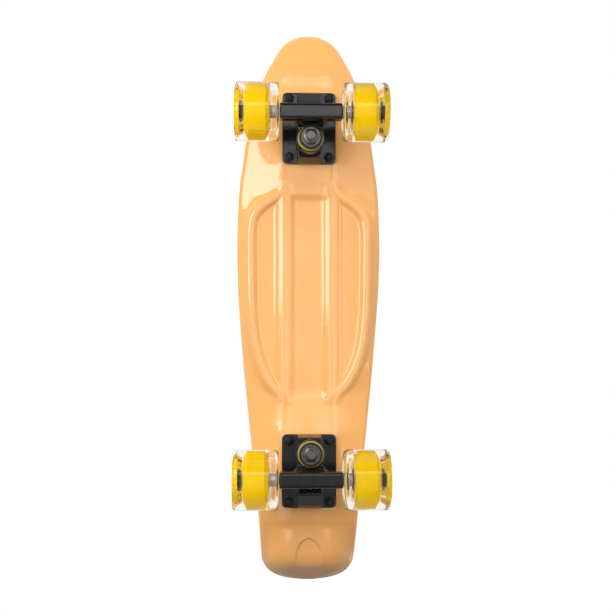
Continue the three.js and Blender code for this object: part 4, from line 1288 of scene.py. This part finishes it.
def soft_box(name, position, across, along, brightness, gloss_only=False):
    """A lamp that faces the board and that the camera doesn't see."""
    lamp = bpy.data.lights.new(name, "AREA")
    lamp.shape = "RECTANGLE"
    lamp.size = across
    lamp.size_y = along
    lamp.energy = brightness * across * along * math.pi
    made = placed(name, lamp)
    back = (Vector(position) - CENTRE).normalized()
    right = Vector((0, 1, 0)).cross(back).normalized()
    made.matrix_world = facing(position, right, back.cross(right), back)
    made.visible_camera = False
    made.visible_transmission = False
    made.visible_diffuse = not gloss_only


def make_lights():
    for row in LAMPS:
        soft_box(*row)
    for row in GLOSS_LAMPS:
        soft_box(*row, gloss_only=True)


def make_world():
    """White to the camera and through glass; softer for gloss and for the fill light."""
    world = bpy.data.worlds.new("Studio")
    bpy.context.scene.world = world
    world.use_nodes = True
    tree = world.node_tree
    tree.nodes.clear()
    rays = add_node(tree, "LightPath").outputs
    where = add_node(tree, "TexCoord").outputs["Generated"]
    split = add_node(tree, "SeparateXYZ", {"Vector": where}).outputs

    def chosen(switch, off, on):
        return add_node(tree, "Mix", {"Factor": switch, 2: off, 3: on}).outputs[0]

    below = mapped(tree, split["Z"], *GLOSS_BELOW)
    above = mapped(tree, split["Z"], *GLOSS_ABOVE)
    gloss = add_node(tree, "Math", {0: below, 1: above}).outputs[0]
    fill = mapped(tree, split["Y"], *FILL_ALONG)
    white = larger(tree, rays["Is Camera Ray"], rays["Is Transmission Ray"])
    strength = chosen(white, chosen(rays["Is Glossy Ray"], fill, gloss), 1.0)
    background = add_node(tree, "Background", {"Color": (1, 1, 1, 1), "Strength": strength})
    add_node(tree, "OutputWorld", {"Surface": background.outputs["Background"]})


def make_floor():
    """A pale floor seen only from above, which fades out round the board and lets light through."""
    corners = [(x * FLOOR_REACH, y * FLOOR_REACH, -FLOOR_DROP) for x, y in SQUARE]
    floor = object_of("Floor", (np.array(corners), [(0, 1, 2, 3)]))
    floor.data.transform(Matrix.Scale(MM, 4))
    looks = {"Base Color": (0.95, 0.95, 0.95, 1), "Roughness": 0.9, "Specular IOR Level": 0.0}
    material, tree, shader = new_material("Pale floor", looks)
    rays = add_node(tree, "LightPath").outputs
    geometry = add_node(tree, "NewGeometry").outputs
    away = add_node(tree, "VectorMath", {0: geometry["Position"]})
    away.operation = "LENGTH"
    fade = mapped(tree, away.outputs["Value"], *FLOOR_FADE, 0, 1)
    fade.node.interpolation_type = "SMOOTHSTEP"
    through = larger(tree, geometry["Backfacing"], fade)
    for name in ("Is Shadow Ray", "Is Glossy Ray", "Is Diffuse Ray"):
        through = larger(tree, through, rays[name])
    clear = add_node(tree, "BsdfTransparent").outputs["BSDF"]
    sides = {"Fac": through, 1: shader.outputs["BSDF"], 2: clear}
    mix = add_node(tree, "MixShader", sides).outputs["Shader"]
    tree.links.new(mix, tree.nodes["Material Output"].inputs["Surface"])
    floor.data.materials.append(material)


# Camera: its place and aim from the middle of the rim's level, with the nose at the top of the picture
CAMERA_LENS = 63.97
CAMERA_PLACE = (-0.045, 0.075, -1.15)
CAMERA_AIM = (0, 0.0013, 0)


def make_camera():
    data = bpy.data.cameras.new("Camera")
    data.lens = CAMERA_LENS
    data.clip_start = 0.05
    data.clip_end = 20
    camera = placed("Camera", data)
    bpy.context.scene.camera = camera
    rim = Vector((0, 0, (PAD_HEIGHT + RIM_ABOVE_PAD) * MM))
    position = rim + Vector(CAMERA_PLACE)
    forward = (rim + Vector(CAMERA_AIM) - position).normalized()
    right = forward.cross(Vector((0, -1, 0))).normalized()
    up = right.cross(forward)
    camera.matrix_world = facing(position, right, up, -forward)


bpy.context.scene.view_settings.view_transform = "Standard"
make_camera()
make_lights()
make_world()
make_floor()
make_deck()
castings = base_plate(), hanger()
for truck, from_nose, turn in (("front", FRONT_FROM_NOSE, 0.0), ("rear", REAR_FROM_NOSE, math.pi)):
    make_fasteners(truck, from_nose)
    make_truck(truck, from_nose, turn, *castings)
